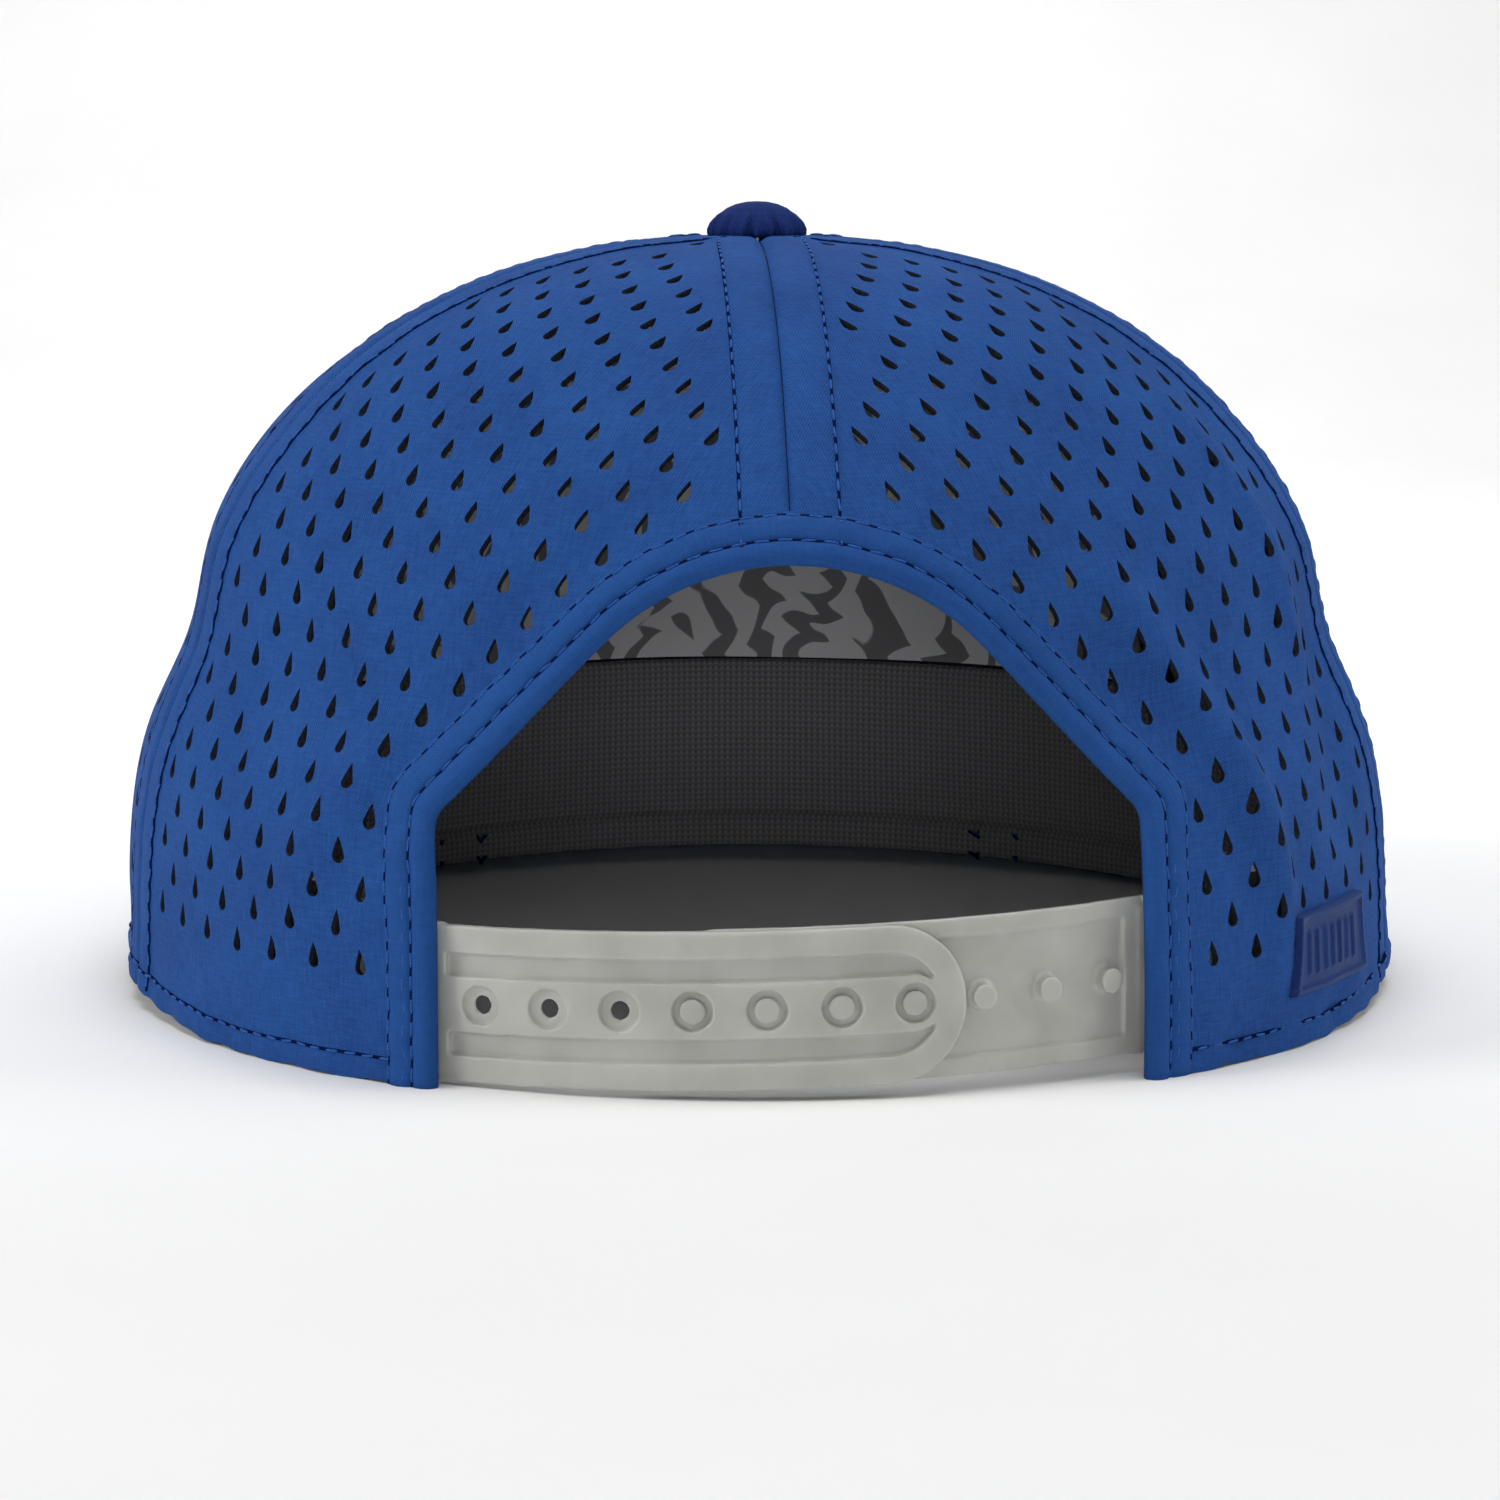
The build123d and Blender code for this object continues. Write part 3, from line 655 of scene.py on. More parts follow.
def panel_outline(gore, window):
    """The panel's edge laid flat, anticlockwise along the rim, up the right seam and down the left."""
    b = resample(np.array([[0.0], [gore.top]]), FINE_STEP)[:, 0]
    right = np.stack([gore.half(b) - SEAM_COLUMNS[0], b], -1)
    left = (right * (-1, 1))[::-1]
    if window:
        cut = gore.window(WINDOW_TRIM)
        if gore.middle < CENTRE_BACK:
            right = np.vstack([cut, right[right[:, 1] > cut[-1, 1] + 0.3]])
        else:
            left = np.vstack([left[left[:, 1] > cut[0, 1] + 0.3], cut])
    along = np.linspace(left[-1, 0], right[0, 0], int((right[0, 0] - left[-1, 0]) / FINE_STEP))
    wobble = 0.2 * (1 + np.sin(along / 1.6) * np.sin(along / 4.7 + 2))
    return np.vstack([np.stack([along, wobble], -1)[1:-1], right, left])


def panel_points(gore, window, outline, centres):
    """Points that the panel's mesh passes through, denser where the cloth is sewn."""
    fine = np.arange(FINE_STEP, gore.top - 0.5, FINE_STEP)
    groups = []
    for column in SEAM_COLUMNS[1:]:
        reach = gore.half(fine) - column
        groups += [np.stack([side * reach, fine], -1)[reach > 1.0] for side in (-1, 1)]
    for row in HEM_ROWS[1:]:
        across = np.arange(-gore.half(row) + SEAM_COLUMNS[-1], gore.half(row) - SEAM_COLUMNS[-1], FINE_STEP)
        groups.append(np.stack([across, np.full_like(across, row)], -1))
    for number, b in enumerate(np.arange(HEM_ROWS[-1] + 1.2, gore.top - 3, GRID_STEP * 0.87)):
        wide = gore.half(b) - SEAM_COLUMNS[-1] - 0.9
        across = np.arange(-wide + 0.5 * GRID_STEP * (number % 2), max(wide, 0), GRID_STEP)
        groups.append(np.stack([across, np.full_like(across, b)], -1))
    points = np.vstack(groups)
    if window:
        distance, _ = nearest(crown(*gore.to_crown(points)), WINDOW_EDGE)
        sewn = [gore.window(offset) for offset in WINDOW_COLUMNS]
        points = np.vstack([points[distance > WINDOW_COLUMNS[-1] + 0.6], *sewn])
    points = points[inside(points, outline)]
    points = points[nearest(points, outline)[0] > 0.35]
    if len(centres):
        spine = np.vstack([centres + (0, lift) for lift in (0, 0.8, 1.6)])
        points = points[nearest(points, spine)[0] > HOLE_R + 0.45]
    return points


def cloth_panel(name, start, end, perforated=True, window=False):
    gore = Gore(start, end)
    outline = panel_outline(gore, window)
    centres = hole_centres(gore, window) if perforated else np.zeros((0, 2))
    holes = [teardrop() + centre for centre in centres]
    flat, faces, _ = triangulate([outline, *holes], panel_points(gore, window, outline, centres))
    points, _ = cloth(*gore.to_crown(flat))
    piece = thicken(new_piece(name + "_cloth", points, faces, [ROYAL, INNER_FACE_AND_HOLE_SHADE], flat), CLOTH_THICKNESS, 1)
    finished(piece, "crown_cloth", name)


PANELS = (
    ("front_panel", -FRONT_SEAM, FRONT_SEAM, False, False),
    ("side_panel_left", FRONT_SEAM, BACK_SEAM, True, False),
    ("back_panel_left", BACK_SEAM, CENTRE_BACK, True, True),
    ("back_panel_right", CENTRE_BACK, 360 - BACK_SEAM, True, True),
    ("side_panel_right", 360 - BACK_SEAM, 360 - FRONT_SEAM, True, False),
)
for settings in PANELS:
    cloth_panel(*settings)

# ---- rolled binding round the window ----
BINDING_SECTION = ((5.8, -0.3), (5.5, -0.12), (5.3, -0.16), (5.1, 0.1), (4.5, 0.36), (3.8, 0.46), (3.0, 0.34),
                   (2.5, 0.0), (2.3, -0.12), (2.1, 0.0), (1.7, 0.34), (1.1, 0.4), (0.5, 0.2), (0.15, -0.25),
                   (0.0, -0.8), (0.2, -1.4), (0.9, -1.8), (2.3, -1.85), (3.8, -1.95), (5.6, -1.85))
BINDING_THICKNESS = 0.34
EDGE_STEP = 0.75


def outward(path):
    """Unit vectors to the left of a flat path's direction."""
    ahead = np.gradient(path, axis=0)
    ahead /= np.linalg.norm(ahead, axis=1, keepdims=True)
    return np.stack([-ahead[:, 1], ahead[:, 0]], -1)


def folded_section(path, thickness):
    """Closed section of a strip of cloth folded along a path, its thickness to the path's right."""
    path = np.array(path)
    return np.vstack([path, (path - outward(path) * thickness)[::-1]])


def binding_point(offset, height):
    """Points of the binding round the window, at a distance from its edge and a height over the cloth."""
    edge = window_outline(0.0, EDGE_STEP)
    flat = edge - outward(edge) * offset
    points, normals = cloth(*window_to_crown(flat), sewn=False)
    walk = np.arange(len(flat)) * EDGE_STEP
    rows = np.array(WINDOW_ROWS)
    wander = 1.9 * np.sin(walk / 11.0) + 1.1 * np.sin(walk / 5.3 + 1.0)
    puckers = 0.38 * np.sin(walk / 1.05 + wander) * np.sin(walk / 7.3 + 0.6) * dip(offset - rows.mean(), 1.4)
    tug = 0.07 * np.sin(2 * np.pi * walk / STITCH_PITCH) * dip(np.abs(offset - rows).min(), 0.5)
    return points + normals * (height + (puckers - tug) * (height > -1))[:, None], normals


def make_binding():
    section = folded_section(BINDING_SECTION, BINDING_THICKNESS)
    rings = np.stack([binding_point(offset, height)[0] for offset, height in section], axis=1)
    across = lengths_along(section)
    uvs = np.stack(np.meshgrid(across, np.arange(len(rings)) * EDGE_STEP), -1).reshape(-1, 2)
    piece = finished(swept("window_binding", rings, TRIM, uvs), "crown_cloth", "arch_facing")


# ---- topstitching ----
THREAD_LIFT, ROW_LIFT, LEG_LIFT = 0.02, 0.3, 0.5
BINDING_TOP = 0.8           # lift of a seam's row where it crosses the binding
ROW_TOP_R = 8.5
LEG_ROW, LEG_TOP = 3.2, 29.0


def seam_row(seam, side, low):
    """A line of stitches beside a seam, from a height up to the button."""
    theta = np.linspace(theta_at(seam, low), theta_at_radius(ROW_TOP_R), 200)
    point = crown(seam, theta)
    phi = seam + side * TOPSTITCH / degree_width(seam, theta)
    distance, _ = nearest(crown(phi, theta), WINDOW_EDGE)
    lift = THREAD_LIFT + np.where((point[:, 1] > 0) & (distance < BINDING_WIDTH), BINDING_TOP, 0.0)
    return cloth(phi, theta, lift)


def hem_row(end):
    """The row above the rim, from one leg of the window round the front to the other."""
    phi = np.linspace(-end, end, int(2 * end * 1.6))
    return cloth(phi, theta_at(phi, rim_height(phi) + HEM_ROW), THREAD_LIFT)


def leg_row(side):
    """A short extra row beside the window, low on one of its legs."""
    points, normals = binding_point(LEG_ROW, LEG_LIFT)
    kept = (points[:, 2] < LEG_TOP) & (side * points[:, 0] > 0)
    return points[kept], normals[kept]


def sew(name, lines):
    """Stitches, and dark tubes of painted shade in the groove under them, along lines of (points, normals)."""
    thread_piece(name, [path for line in lines for path in stitches(*line)])
    under = [path for line in lines for path in groove_shade_links(*line)]
    # the dark tubes are painted shade in the groove and the needle holes
    thread_piece(name + "_groove_shade", under, GROOVE_R, GROOVE_PAINTED_SHADE, 1.0)


def make_stitching():
    seam_lines = []
    for seam in SEAMS:
        low = WINDOW_TOP + 1 if seam == CENTRE_BACK else rim_height(np.array(seam)) + 1
        seam_lines += [seam_row(seam, 1, low), seam_row(seam, -1, low)]
    sew("seam_stitches", seam_lines)
    window_lines = [binding_point(offset, ROW_LIFT) for offset in WINDOW_ROWS]
    sew("window_stitches", window_lines + [leg_row(-1), leg_row(1)])
    leg = CENTRE_BACK - np.degrees(np.arcsin((WINDOW_HALF_WIDTH + 1.0) / HALF_WIDTH))
    sew("hem_stitches", [hem_row(leg)])


# ---- inner layers; a section's points are (height above the rim, depth inside the crown) ----
SWEATBAND_END = 140.0
SWEATBAND_SECTION = ((0.0, 1.3), (0.2, 1.9), (0.4, 2.6), (1.2, 3.1), (2.4, 3.2), (3.0, 2.9), (3.6, 3.2),
                     (7, 3.45), (13, 3.55), (20, 3.45), (24, 3.2), (26, 2.8), (26.6, 2.2), (26.2, 1.6), (24, 1.3))
FOAM_SECTION = ((1.6, 1.6), (2.2, 2.5), (6, 2.75), (13, 2.85), (20, 2.75), (24.4, 2.4), (25, 1.9), (24, 1.65),
                (13, 1.6))
SWEATBAND_ROW = (3.0, 2.95)
SWEATBAND_LOW = 0.9
KNIT_THICKNESS = 0.5


def band_rings(section, end, step=1.0):
    """Rings of a band that follows the rim inside the crown, as far as a plan angle on both sides."""
    phi = np.linspace(-end, end, int(2 * end * 1.6 / step))
    rim = rim_height(phi)
    rings = []
    for height, depth in section:
        wave = 0.12 * np.sin(phi / 1.9) * np.sin(phi / 5.1 + height / 5) * (depth > 2)
        theta = theta_at(phi, rim + SWEATBAND_LOW + height)
        rings.append(cloth(phi, theta, -(depth + wave), sewn=False)[0])
    return np.stack(rings, axis=1)


def ring_uvs(rings):
    """Flat coordinates of a sweep: along it, and round its section."""
    along = lengths_along(rings.mean(1))
    across = lengths_along(np.vstack([rings[0], rings[:1, 0]]))[:-1]
    return np.stack(np.meshgrid(across, along), -1)[..., ::-1].reshape(-1, 2), along[-1], across[-1]


def make_sweatband():
    foam = swept("sweatband_foam_core", band_rings(FOAM_SECTION, SWEATBAND_END - 1, 2.0), FOAM)
    finished(foam, "foam", "sweatband_foam")
    section = folded_section(SWEATBAND_SECTION, -KNIT_THICKNESS)
    rings = band_rings(section, SWEATBAND_END)
    uvs, length, girth = ring_uvs(rings)
    band = finished(swept("sweatband_knit_cover", rings, SWEATBAND, uvs), "sweatband", "sweatband_cover")
    phi = np.linspace(-SWEATBAND_END, SWEATBAND_END, 450)
    row_height, row_depth = SWEATBAND_ROW
    theta = theta_at(phi, rim_height(phi) + SWEATBAND_LOW + row_height)
    points, normals = cloth(phi, theta, -row_depth, sewn=False)
    thread_piece("sweatband_stitches", stitches(points, -normals))


TAPE_WIDTH, TAPE_TOP_R, TAPE_LIFT, TAPE_THICKNESS = 12.0, 15.0, -1.15, 0.5
TAPE_SECTION = ((0.0, -0.12), (3.2, -0.05), (4.0, 0.05), (4.3, 0.18), (4.6, 0.05), (5.2, 0.0), (6.0, 0.15))
INNER_LAYER_LOW = 28.5
LINING_INSET = 3.0


def inner_low(angle):
    """Height at which the tapes and the lining end, just above the sweatband."""
    return INNER_LAYER_LOW + rim_height(np.array(angle))


TAPES = (
    ("seam_tape_front_right", -FRONT_SEAM, inner_low(-FRONT_SEAM), ["front_panel", "side_panel_right"]),
    ("seam_tape_front_left", FRONT_SEAM, inner_low(FRONT_SEAM), ["front_panel", "side_panel_left"]),
    ("seam_tape_back_left", BACK_SEAM, inner_low(BACK_SEAM), ["side_panel_left", "back_panel_left"]),
    ("seam_tape_back_right", -BACK_SEAM, inner_low(-BACK_SEAM), ["side_panel_right", "back_panel_right"]),
    ("seam_tape_centre_back", CENTRE_BACK, WINDOW_TOP + 2.5, ["back_panel_left", "back_panel_right"]),
)


def make_tape(name, seam, low, panels):
    """Tape over the inside of a seam, stitched near both edges."""
    across, puff = np.array(TAPE_SECTION).T
    across = np.concatenate([-across[:0:-1], across])
    puff = np.concatenate([puff[:0:-1], puff])
    theta = np.linspace(theta_at(seam, low), theta_at_radius(TAPE_TOP_R), 110)
    phi = seam + across / degree_width(seam, theta)[:, None]
    points, _ = cloth(phi, theta[:, None], TAPE_LIFT - 0.2 + puff, sewn=False)
    along = lengths_along(points[:, 6])
    uvs = np.stack(np.meshgrid(across, along), -1).reshape(-1, 2)
    faces = grid_faces(*points.shape[:2])
    tape = thicken(new_piece(name + "_strip", points.reshape(-1, 3), faces, TAPE, uvs), TAPE_THICKNESS)
    finished(tape, "seam_tape", name)


def make_lining():
    """Soft printed lining behind the front panel's stiffener."""
    gore = Gore(-FRONT_SEAM, FRONT_SEAM)
    theta = np.linspace(theta_at(0.0, inner_low(0.0)), theta_at_radius(TAPE_TOP_R + 1), 90)
    share = np.linspace(-1, 1, 120)
    b = np.interp(theta, gore.theta, gore.height)
    half = gore.half(b) - LINING_INSET
    a = share * half[:, None]
    phi, high = gore.to_crown(np.stack([a, np.broadcast_to(b[:, None], a.shape)], -1).reshape(-1, 2))
    slack = 0.35 + 0.35 * np.sin(a / 9).ravel() * np.sin(np.repeat(b, len(share)) / 7 + 1)
    points, _ = cloth(phi, high, -2.05 - np.abs(slack), sewn=False)
    uvs = np.stack([a.ravel(), np.repeat(b, len(share))], -1)
    lining = new_piece("front_lining_cloth", points, grid_faces(len(theta), len(share)), LINING, uvs)
    finished(thicken(lining, 0.35), "lining", "front_lining")


# ---- visor ----
VISOR_LOW, VISOR_HIGH = frame_box("visor_top_cover")
VISOR_HALF_WIDTH = VISOR_HIGH[0]
VISOR_WIDEST_Y, VISOR_TUCK = 75.0, 2.0
VISOR_REACH = -VISOR_LOW[1] - VISOR_WIDEST_Y
VISOR_THICKNESS = 4.0
VISOR_ROWS = (2.6, 9.0, 15.5, 22.0, 28.5, 35.0, 41.5, 48.0)
VISOR_STEP = 1.6
UNDER_SEAM = 3.1            # the covers meet this far below the upper face
TOP_ROLL = ((0.9, 0.0), (0.45, 0.12), (0.12, 0.45), (0.0, 1.0), (0.0, 1.8), (0.05, 2.6), (0.25, UNDER_SEAM))
UNDER_ROLL = ((0.9, VISOR_THICKNESS), (0.5, 3.88), (0.2, 3.6), (0.25, UNDER_SEAM + 0.1))
ROOT_SECTION = ((-0.4, 1.4), (0.6, 1.5), (1.2, 0.1), (1.45, -0.6), (1.5, -2.0), (1.45, -3.4), (1.2, -4.1),
                (0.5, -4.35), (-0.4, -4.3))


def visor_edge(margin, step=VISOR_STEP):
    """Plan of the visor's outer edge, from the wearer's right root to the left, made smaller by a margin."""
    corner = np.radians(VISOR_CORNER) - margin / HALF_WIDTH
    root = np.array([(HALF_WIDTH - VISOR_TUCK + margin) * np.sin(corner),
                     -(HALF_LENGTH - VISOR_TUCK + margin) * np.cos(corner)])
    half = VISOR_HALF_WIDTH - margin
    turn = np.linspace(0, np.pi, 160)
    front = np.stack([-half * np.cos(turn), -VISOR_WIDEST_Y - (VISOR_REACH - margin) * np.sin(turn)], -1)
    shift = np.array([root[0] - half, root[1] + VISOR_WIDEST_Y])
    bend = -(shift ** 2).sum() / (2 * shift[0])
    reach = np.arcsin(np.clip(shift[1] / bend, -1, 1))
    side = np.radians(np.linspace(0, np.degrees(reach), 20))[1:]
    arc = np.stack([half - bend + bend * np.cos(side), -VISOR_WIDEST_Y + bend * np.sin(side)], -1)
    return resample(np.vstack([arc[::-1] * (-1, 1), front, arc]), step)


def visor_root(margin, step=VISOR_STEP):
    """Plan of the edge tucked under the crown, from the wearer's left to the right."""
    corner = VISOR_CORNER - np.degrees(margin / HALF_WIDTH)
    turn = np.radians(np.linspace(corner, -corner, 200))
    return resample(np.stack([(HALF_WIDTH - VISOR_TUCK + margin) * np.sin(turn),
                              -(HALF_LENGTH - VISOR_TUCK + margin) * np.cos(turn)], -1), step)


def visor_cover(name, node, slot, down, roll):
    """One cover of the visor: a stitched face, and its edge rolled over the board by (margin, drop)."""
    margin = roll[0][0]
    edge = visor_edge(margin)
    loop = np.vstack([edge, visor_root(margin)[1:-1]])
    grid = np.meshgrid(np.arange(-90, 90, VISOR_STEP), np.arange(-168, -30, VISOR_STEP))
    grid = np.stack(grid, -1).reshape(-1, 2)
    rim = visor_edge(0.0, 0.5)
    rows = [visor_edge(row + shift) for row in VISOR_ROWS for shift in (-0.9, -0.4, 0, 0.4, 0.9)]
    distance, _ = nearest(grid, rim)
    near_row = np.abs(distance[:, None] - np.array(VISOR_ROWS)).min(1)
    points = np.vstack([grid[near_row > 1.5], *rows])
    points = points[inside(points, loop)]
    points = points[nearest(points, loop)[0] > 0.45]
    flat, faces, order = triangulate([loop], points)
    distance, index = nearest(flat, rim)
    row_gap = np.abs(distance[:, None] - np.array(VISOR_ROWS)).min(1)
    puff = 0.22 - 0.34 * dip(row_gap, 0.8) - 0.05 * np.sin(index * 0.5 / 0.9) * dip(row_gap, 0.5)
    puff = puff * smooth((distance - margin) / 1.2)
    height = visor_top(flat[:, 0], flat[:, 1]) + (puff if not down else -VISOR_THICKNESS - puff)
    top = np.column_stack([flat, height])
    strips = [top]
    previous = np.array(order[:len(edge)])
    all_faces = faces.tolist() if not down else faces[:, ::-1].tolist()
    count = len(top)
    for inset, drop in roll[1:]:
        line = visor_edge(inset, 0.5)
        line = at_lengths(line, np.linspace(0, 1, len(line)), np.linspace(0, 1, len(edge)))
        level = visor_top(line[:, 0], line[:, 1]) - drop
        strips.append(np.column_stack([line, level]))
        current = np.arange(count, count + len(edge))
        quads = np.stack([previous[:-1], current[:-1], current[1:], previous[1:]], -1)
        all_faces += (quads if not down else quads[:, ::-1]).tolist()
        previous = current
        count += len(edge)
    points = np.vstack(strips)
    uvs = points[:, :2].copy()
    uvs[len(top):, 1] += points[len(top):, 2]
    cover = thicken(new_piece(name, points, all_faces, [ROYAL, INNER_FACE_AND_HOLE_SHADE], uvs), 0.6, 1)
    finished(cover, slot, node)


def visor_row(offset, down):
    """A row of stitches a distance inside the visor's edge, on its upper or lower face."""
    line = visor_edge(offset, 0.8)
    level = visor_top(line[:, 0], line[:, 1]) + (-VISOR_THICKNESS + 0.12 if down else -0.12)
    normals = np.tile([0.0, 0.0, -1.0 if down else 1.0], (len(line), 1))
    return np.column_stack([line, level])[5:-5], normals[5:-5]


def make_visor():
    visor_cover("visor_top_cloth", "visor_top_cover", "visor_cloth", False, TOP_ROLL)
    visor_cover("visor_under_cloth", "visor_under_cover", "visor_under_cloth", True, UNDER_ROLL)
    line = visor_root(0.6, 1.0)[::-1]
    level = visor_top(line[:, 0], line[:, 1])
    inward = outward(line)
    rings = np.stack([np.column_stack([line + inward * side, level + up]) for side, up in ROOT_SECTION], axis=1)
    binding = swept("visor_root_binding", rings, SWEATBAND, ring_uvs(rings)[0])
    finished(binding, "seam_tape")
    sew("visor_stitches", [visor_row(offset, down) for down in (False, True) for offset in VISOR_ROWS])


# ---- button, patch and snap straps ----
BUTTON_LOW, BUTTON_HIGH = frame_box("button_cover")
BUTTON_SECTION = ((0.0, 5.2), (1.5, 5.12), (3.0, 4.8), (4.4, 4.2), (5.5, 3.3), (6.3, 2.2), (6.72, 1.2),
                  (6.7, 0.45), (6.3, 0.05), (5.4, -0.05), (5.2, 0.5), (5.6, 1.1), (5.4, 2.2), (4.3, 3.2),
                  (2.6, 4.0), (0.0, 4.4))


def make_button():
    """A domed disc covered in cloth that is gathered under its edge."""
    section = resample(np.array(BUTTON_SECTION), 0.35)
    turn = np.linspace(0, 2 * np.pi, 96, endpoint=False)
    middle = (BUTTON_LOW + BUTTON_HIGH) / 2
    gather = 0.1 * np.sin(turn * 17) * np.sin(turn * 5 + 1)
    radius, height = section[:, :1], section[:, 1:]
    pleat = 1 + gather * smooth((radius - 4.5) / 2.0)
    x = middle[0] + radius * pleat * np.cos(turn)
    y = middle[1] + radius * pleat * np.sin(turn)
    z = BUTTON_LOW[2] + height + 0 * turn
    points = np.stack([x, y, z], -1).reshape(-1, 3)
    uvs = np.stack([x - middle[0], y - middle[1]], -1).reshape(-1, 2)
    faces = grid_faces(len(section), len(turn), closed=True)
    button = new_piece("button_cloth", points, faces, BUTTON_CLOTH, uvs)
    finished(button, "button_cloth", "button_cover")


PATCH_ANGLE, PATCH_WIDTH, PATCH_LOW, PATCH_HIGH = 235.0, 25.0, 7.0, 18.0
PATCH_STEP = 0.22
PATCH_RIBS, PATCH_RIB_PITCH = 7, 2.6


def make_patch():
    """Moulded rubber patch with a raised border and a row of plain upright ribs."""
    across = np.linspace(-PATCH_WIDTH / 2, PATCH_WIDTH / 2, int(PATCH_WIDTH / PATCH_STEP))
    up = np.linspace(PATCH_LOW, PATCH_HIGH, int((PATCH_HIGH - PATCH_LOW) / PATCH_STEP))
    a, z = np.meshgrid(across, up)
    side = np.minimum(PATCH_WIDTH / 2 - np.abs(a), np.minimum(z - PATCH_LOW, PATCH_HIGH - z))
    rib = np.cos(2 * np.pi * a / PATCH_RIB_PITCH) * (np.abs(a) < PATCH_RIB_PITCH * PATCH_RIBS / 2)
    tall = smooth((np.minimum(z - PATCH_LOW, PATCH_HIGH - z) - 2.4) / 0.4)
    height = 1.1 - 0.4 * smooth((side - 0.9) / 0.35) + 0.38 * smooth((rib - 0.1) / 0.5) * tall
    height -= 0.35 * (1 - smooth(side / 0.4))
    half = np.degrees(1 / (0.5 * (HALF_WIDTH + HALF_LENGTH)))
    phi = PATCH_ANGLE + a * half
    points, normals = cloth(phi, theta_at(phi, z), height + 0.1)
    points[side < 0.01] -= normals[side < 0.01] * 0.9
    rows, columns = a.shape
    uvs = np.stack([a, z], -1).reshape(-1, 2)
    patch = new_piece("side_patch_rubber", points.reshape(-1, 3), grid_faces(rows, columns), RUBBER, uvs)
    finished(thicken(patch, 0.5), "patch_rubber", "side_patch")


STRAP_VOXEL = 0.24
BRIDGE_SIDES, BRIDGE_RADII, BRIDGE_INSETS = 24, (1.1, 0.7), (1.0, 1.2)
HINGES = {joint["child"]: Vector(joint["pos_m"]) for joint in frame["joints"]}


def make_strap(body, strap, tab):
    """The moulded strap and its sewn tab, joined by a bridge at the hinge into one piece."""
    points, faces = [], []
    for node in (strap, tab):
        mesh = frame["nodes"][node].data
        faces.extend([len(points) + k for k in face.vertices] for face in mesh.polygons)
        points.extend(np.array(v.co) / MM for v in mesh.vertices)
    low, high = frame_box(strap)
    hinge = np.array(HINGES[body]) / MM
    turn = np.radians(np.linspace(0, 360, BRIDGE_SIDES, endpoint=False))
    ring = hinge[:2] + np.stack([np.cos(turn), np.sin(turn)], -1) * BRIDGE_RADII
    foot, head = len(points), len(points) + BRIDGE_SIDES
    for level in (low[2] + BRIDGE_INSETS[0], high[2] - BRIDGE_INSETS[1]):
        points.extend(np.insert(ring, 2, level, axis=1))
    faces.extend((grid_faces(2, BRIDGE_SIDES, closed=True) + foot).tolist())
    faces.append(list(range(foot, head))[::-1])
    faces.append(list(range(head, head + BRIDGE_SIDES)))
    piece = new_piece(body + "_moulding", points, faces, PLASTIC)
    remesh = piece.modifiers.new("remesh", "REMESH")
    remesh.mode = "VOXEL"
    remesh.voxel_size = STRAP_VOXEL * MM
    soften = piece.modifiers.new("soften", "SMOOTH")
    soften.factor = 0.5
    soften.iterations = 3
    apply_modifiers(piece)
    piece.data.polygons.foreach_set("use_smooth", [True] * len(piece.data.polygons))
    piece.data.materials.clear()
    piece.data.materials.append(PLASTIC)
    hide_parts(strap, tab)
    hinge = HINGES[body]
    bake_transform(piece)


def paint_hidden_nodes():
    """Materials for the inner CAD nodes that stay as they are."""
    for node, material in (("front_buckram", MESH_BOARD), ("visor_board", MESH_BOARD),
                           ("button_core", BUTTON_METAL), ("button_washer", BUTTON_METAL)):
        data = frame["nodes"][node].data
        data.materials.clear()
        data.materials.append(material)


make_binding()
make_stitching()
make_sweatband()
for settings in TAPES:
    make_tape(*settings)
make_lining()
make_visor()
make_button()
make_patch()
make_strap("hole_strap", "hole_strap", "hole_strap_tab")
make_strap("peg_strap", "peg_strap", "peg_strap_tab")
paint_hidden_nodes()

# ---- stage, light and camera ----
CAMERA_PLACE = Vector((34.5, 599.0, 115.5)) * MM
CAMERA_TARGET = Vector((1.0, 0.0, 32.0)) * MM
CAMERA_LENS = 98.5
WORLD_BASE, WORLD_SIDES, WORLD_TOP = 0.14, 0.45, 0.7


def add_camera():
    data = bpy.data.cameras.new("camera")
    data.lens = CAMERA_LENS
    data.clip_start = 0.01
    camera = bpy.data.objects.new("camera", data)
    camera.location = CAMERA_PLACE
    camera.rotation_mode = "QUATERNION"
    camera.rotation_quaternion = (CAMERA_TARGET - CAMERA_PLACE).to_track_quat("-Z", "Y")
    bpy.context.scene.collection.objects.link(camera)
    bpy.context.scene.camera = camera


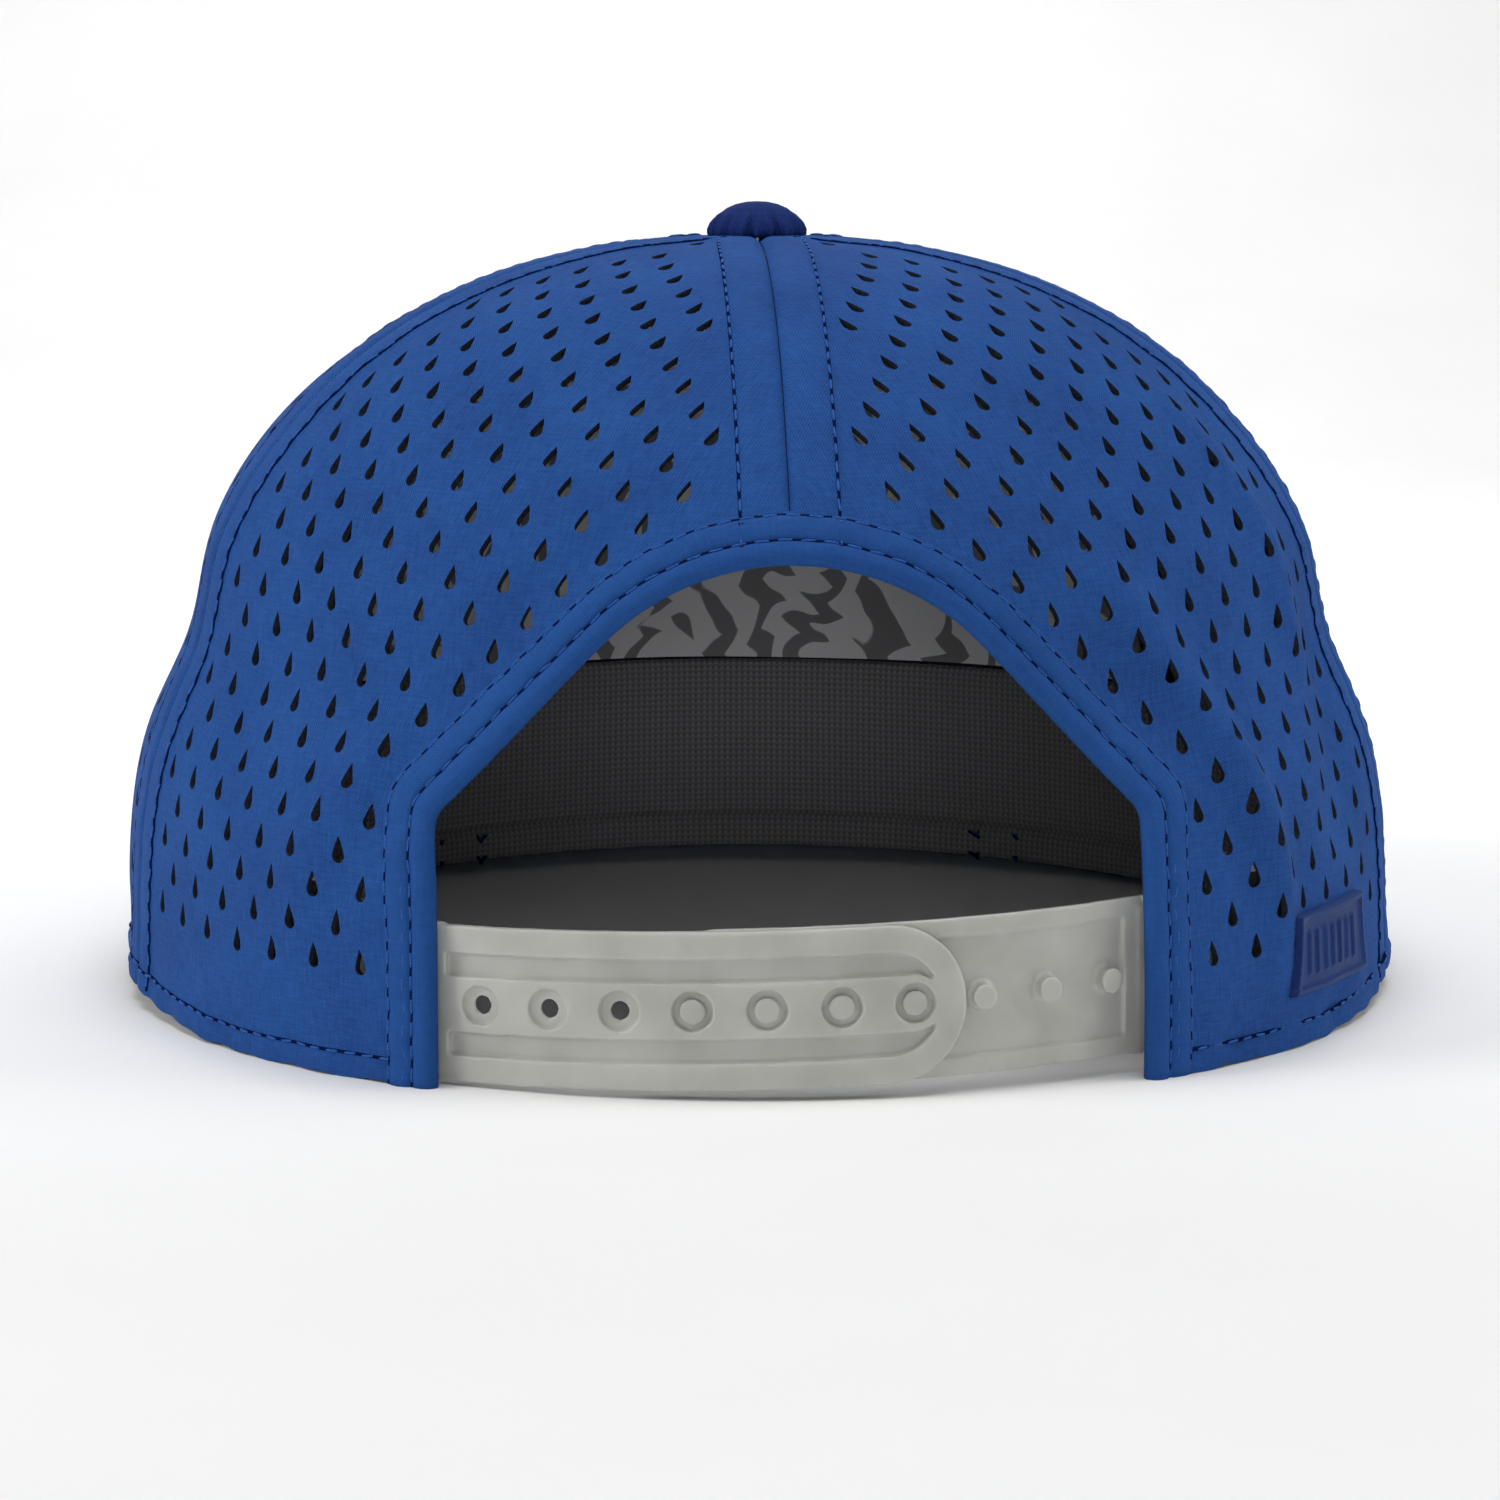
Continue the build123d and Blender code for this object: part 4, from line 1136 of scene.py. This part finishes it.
def add_floor():
    """A pale sweep that turns up behind the cap."""
    material = grained("stage_paper", (248, 248, 248), (245, 245, 245), 0.9, 0.01, 0.001)
    turn = np.radians(np.linspace(0, 90, 16))
    bend, back, wide = 600.0, -900.0, 3000.0
    curve = np.stack([back - bend * np.sin(turn), bend - bend * np.cos(turn)], -1)
    line = np.vstack([[[2500.0, 0.0]], curve, [[back - bend, 3000.0]]])
    points = np.concatenate([np.insert(line, 0, side, axis=1) for side in (-wide, wide)])
    count = len(line)
    faces = [(k, k + 1, count + k + 1, count + k) for k in range(count - 1)]
    floor = new_piece("floor", points, faces, material)


def add_light(name, place, target, size, power):
    data = bpy.data.lights.new(name, "AREA")
    data.size = size * MM
    data.energy = power
    light = bpy.data.objects.new(name, data)
    light.location = Vector(place) * MM
    light.rotation_mode = "QUATERNION"
    light.rotation_quaternion = (Vector(target) - Vector(place)).to_track_quat("-Z", "Y")
    bpy.context.scene.collection.objects.link(light)


def add_world():
    """Soft light from above and from both sides, and little from the front."""
    world = bpy.data.worlds.new("studio")
    world.use_nodes = True
    nodes, links = world.node_tree.nodes, world.node_tree.links
    split = nodes.new("ShaderNodeSeparateXYZ")
    links.new(nodes.new("ShaderNodeTexCoord").outputs["Generated"], split.inputs[0])
    total = nodes.new("ShaderNodeValue").outputs[0]
    total.default_value = WORLD_BASE
    for axis, operation, share in ((0, "ABSOLUTE", WORLD_SIDES), (2, "MAXIMUM", WORLD_TOP)):
        part = nodes.new("ShaderNodeMath")
        part.operation = operation
        part.inputs[1].default_value = 0.0
        links.new(split.outputs[axis], part.inputs[0])
        added = nodes.new("ShaderNodeMath")
        added.operation = "MULTIPLY_ADD"
        added.inputs[1].default_value = share
        links.new(part.outputs[0], added.inputs[0])
        links.new(total, added.inputs[2])
        total = added.outputs[0]
    links.new(total, nodes["Background"].inputs[1])
    bpy.context.scene.world = world
    bpy.context.scene.view_settings.view_transform = "Standard"


add_camera()
add_floor()
add_light("top", (-60, 120, 1200), (0, 80, 50), 1000, 9.5)
add_light("fill", (40, 1200, 80), (0, 0, 45), 420, 3.0)
add_light("left", (950, 250, 520), (0, 0, 50), 500, 5.5)
add_light("right", (-950, 100, 480), (0, 0, 50), 500, 3.5)
add_light("backdrop", (0, -500, 900), (0, -1300, 300), 900, 8.0)
add_world()
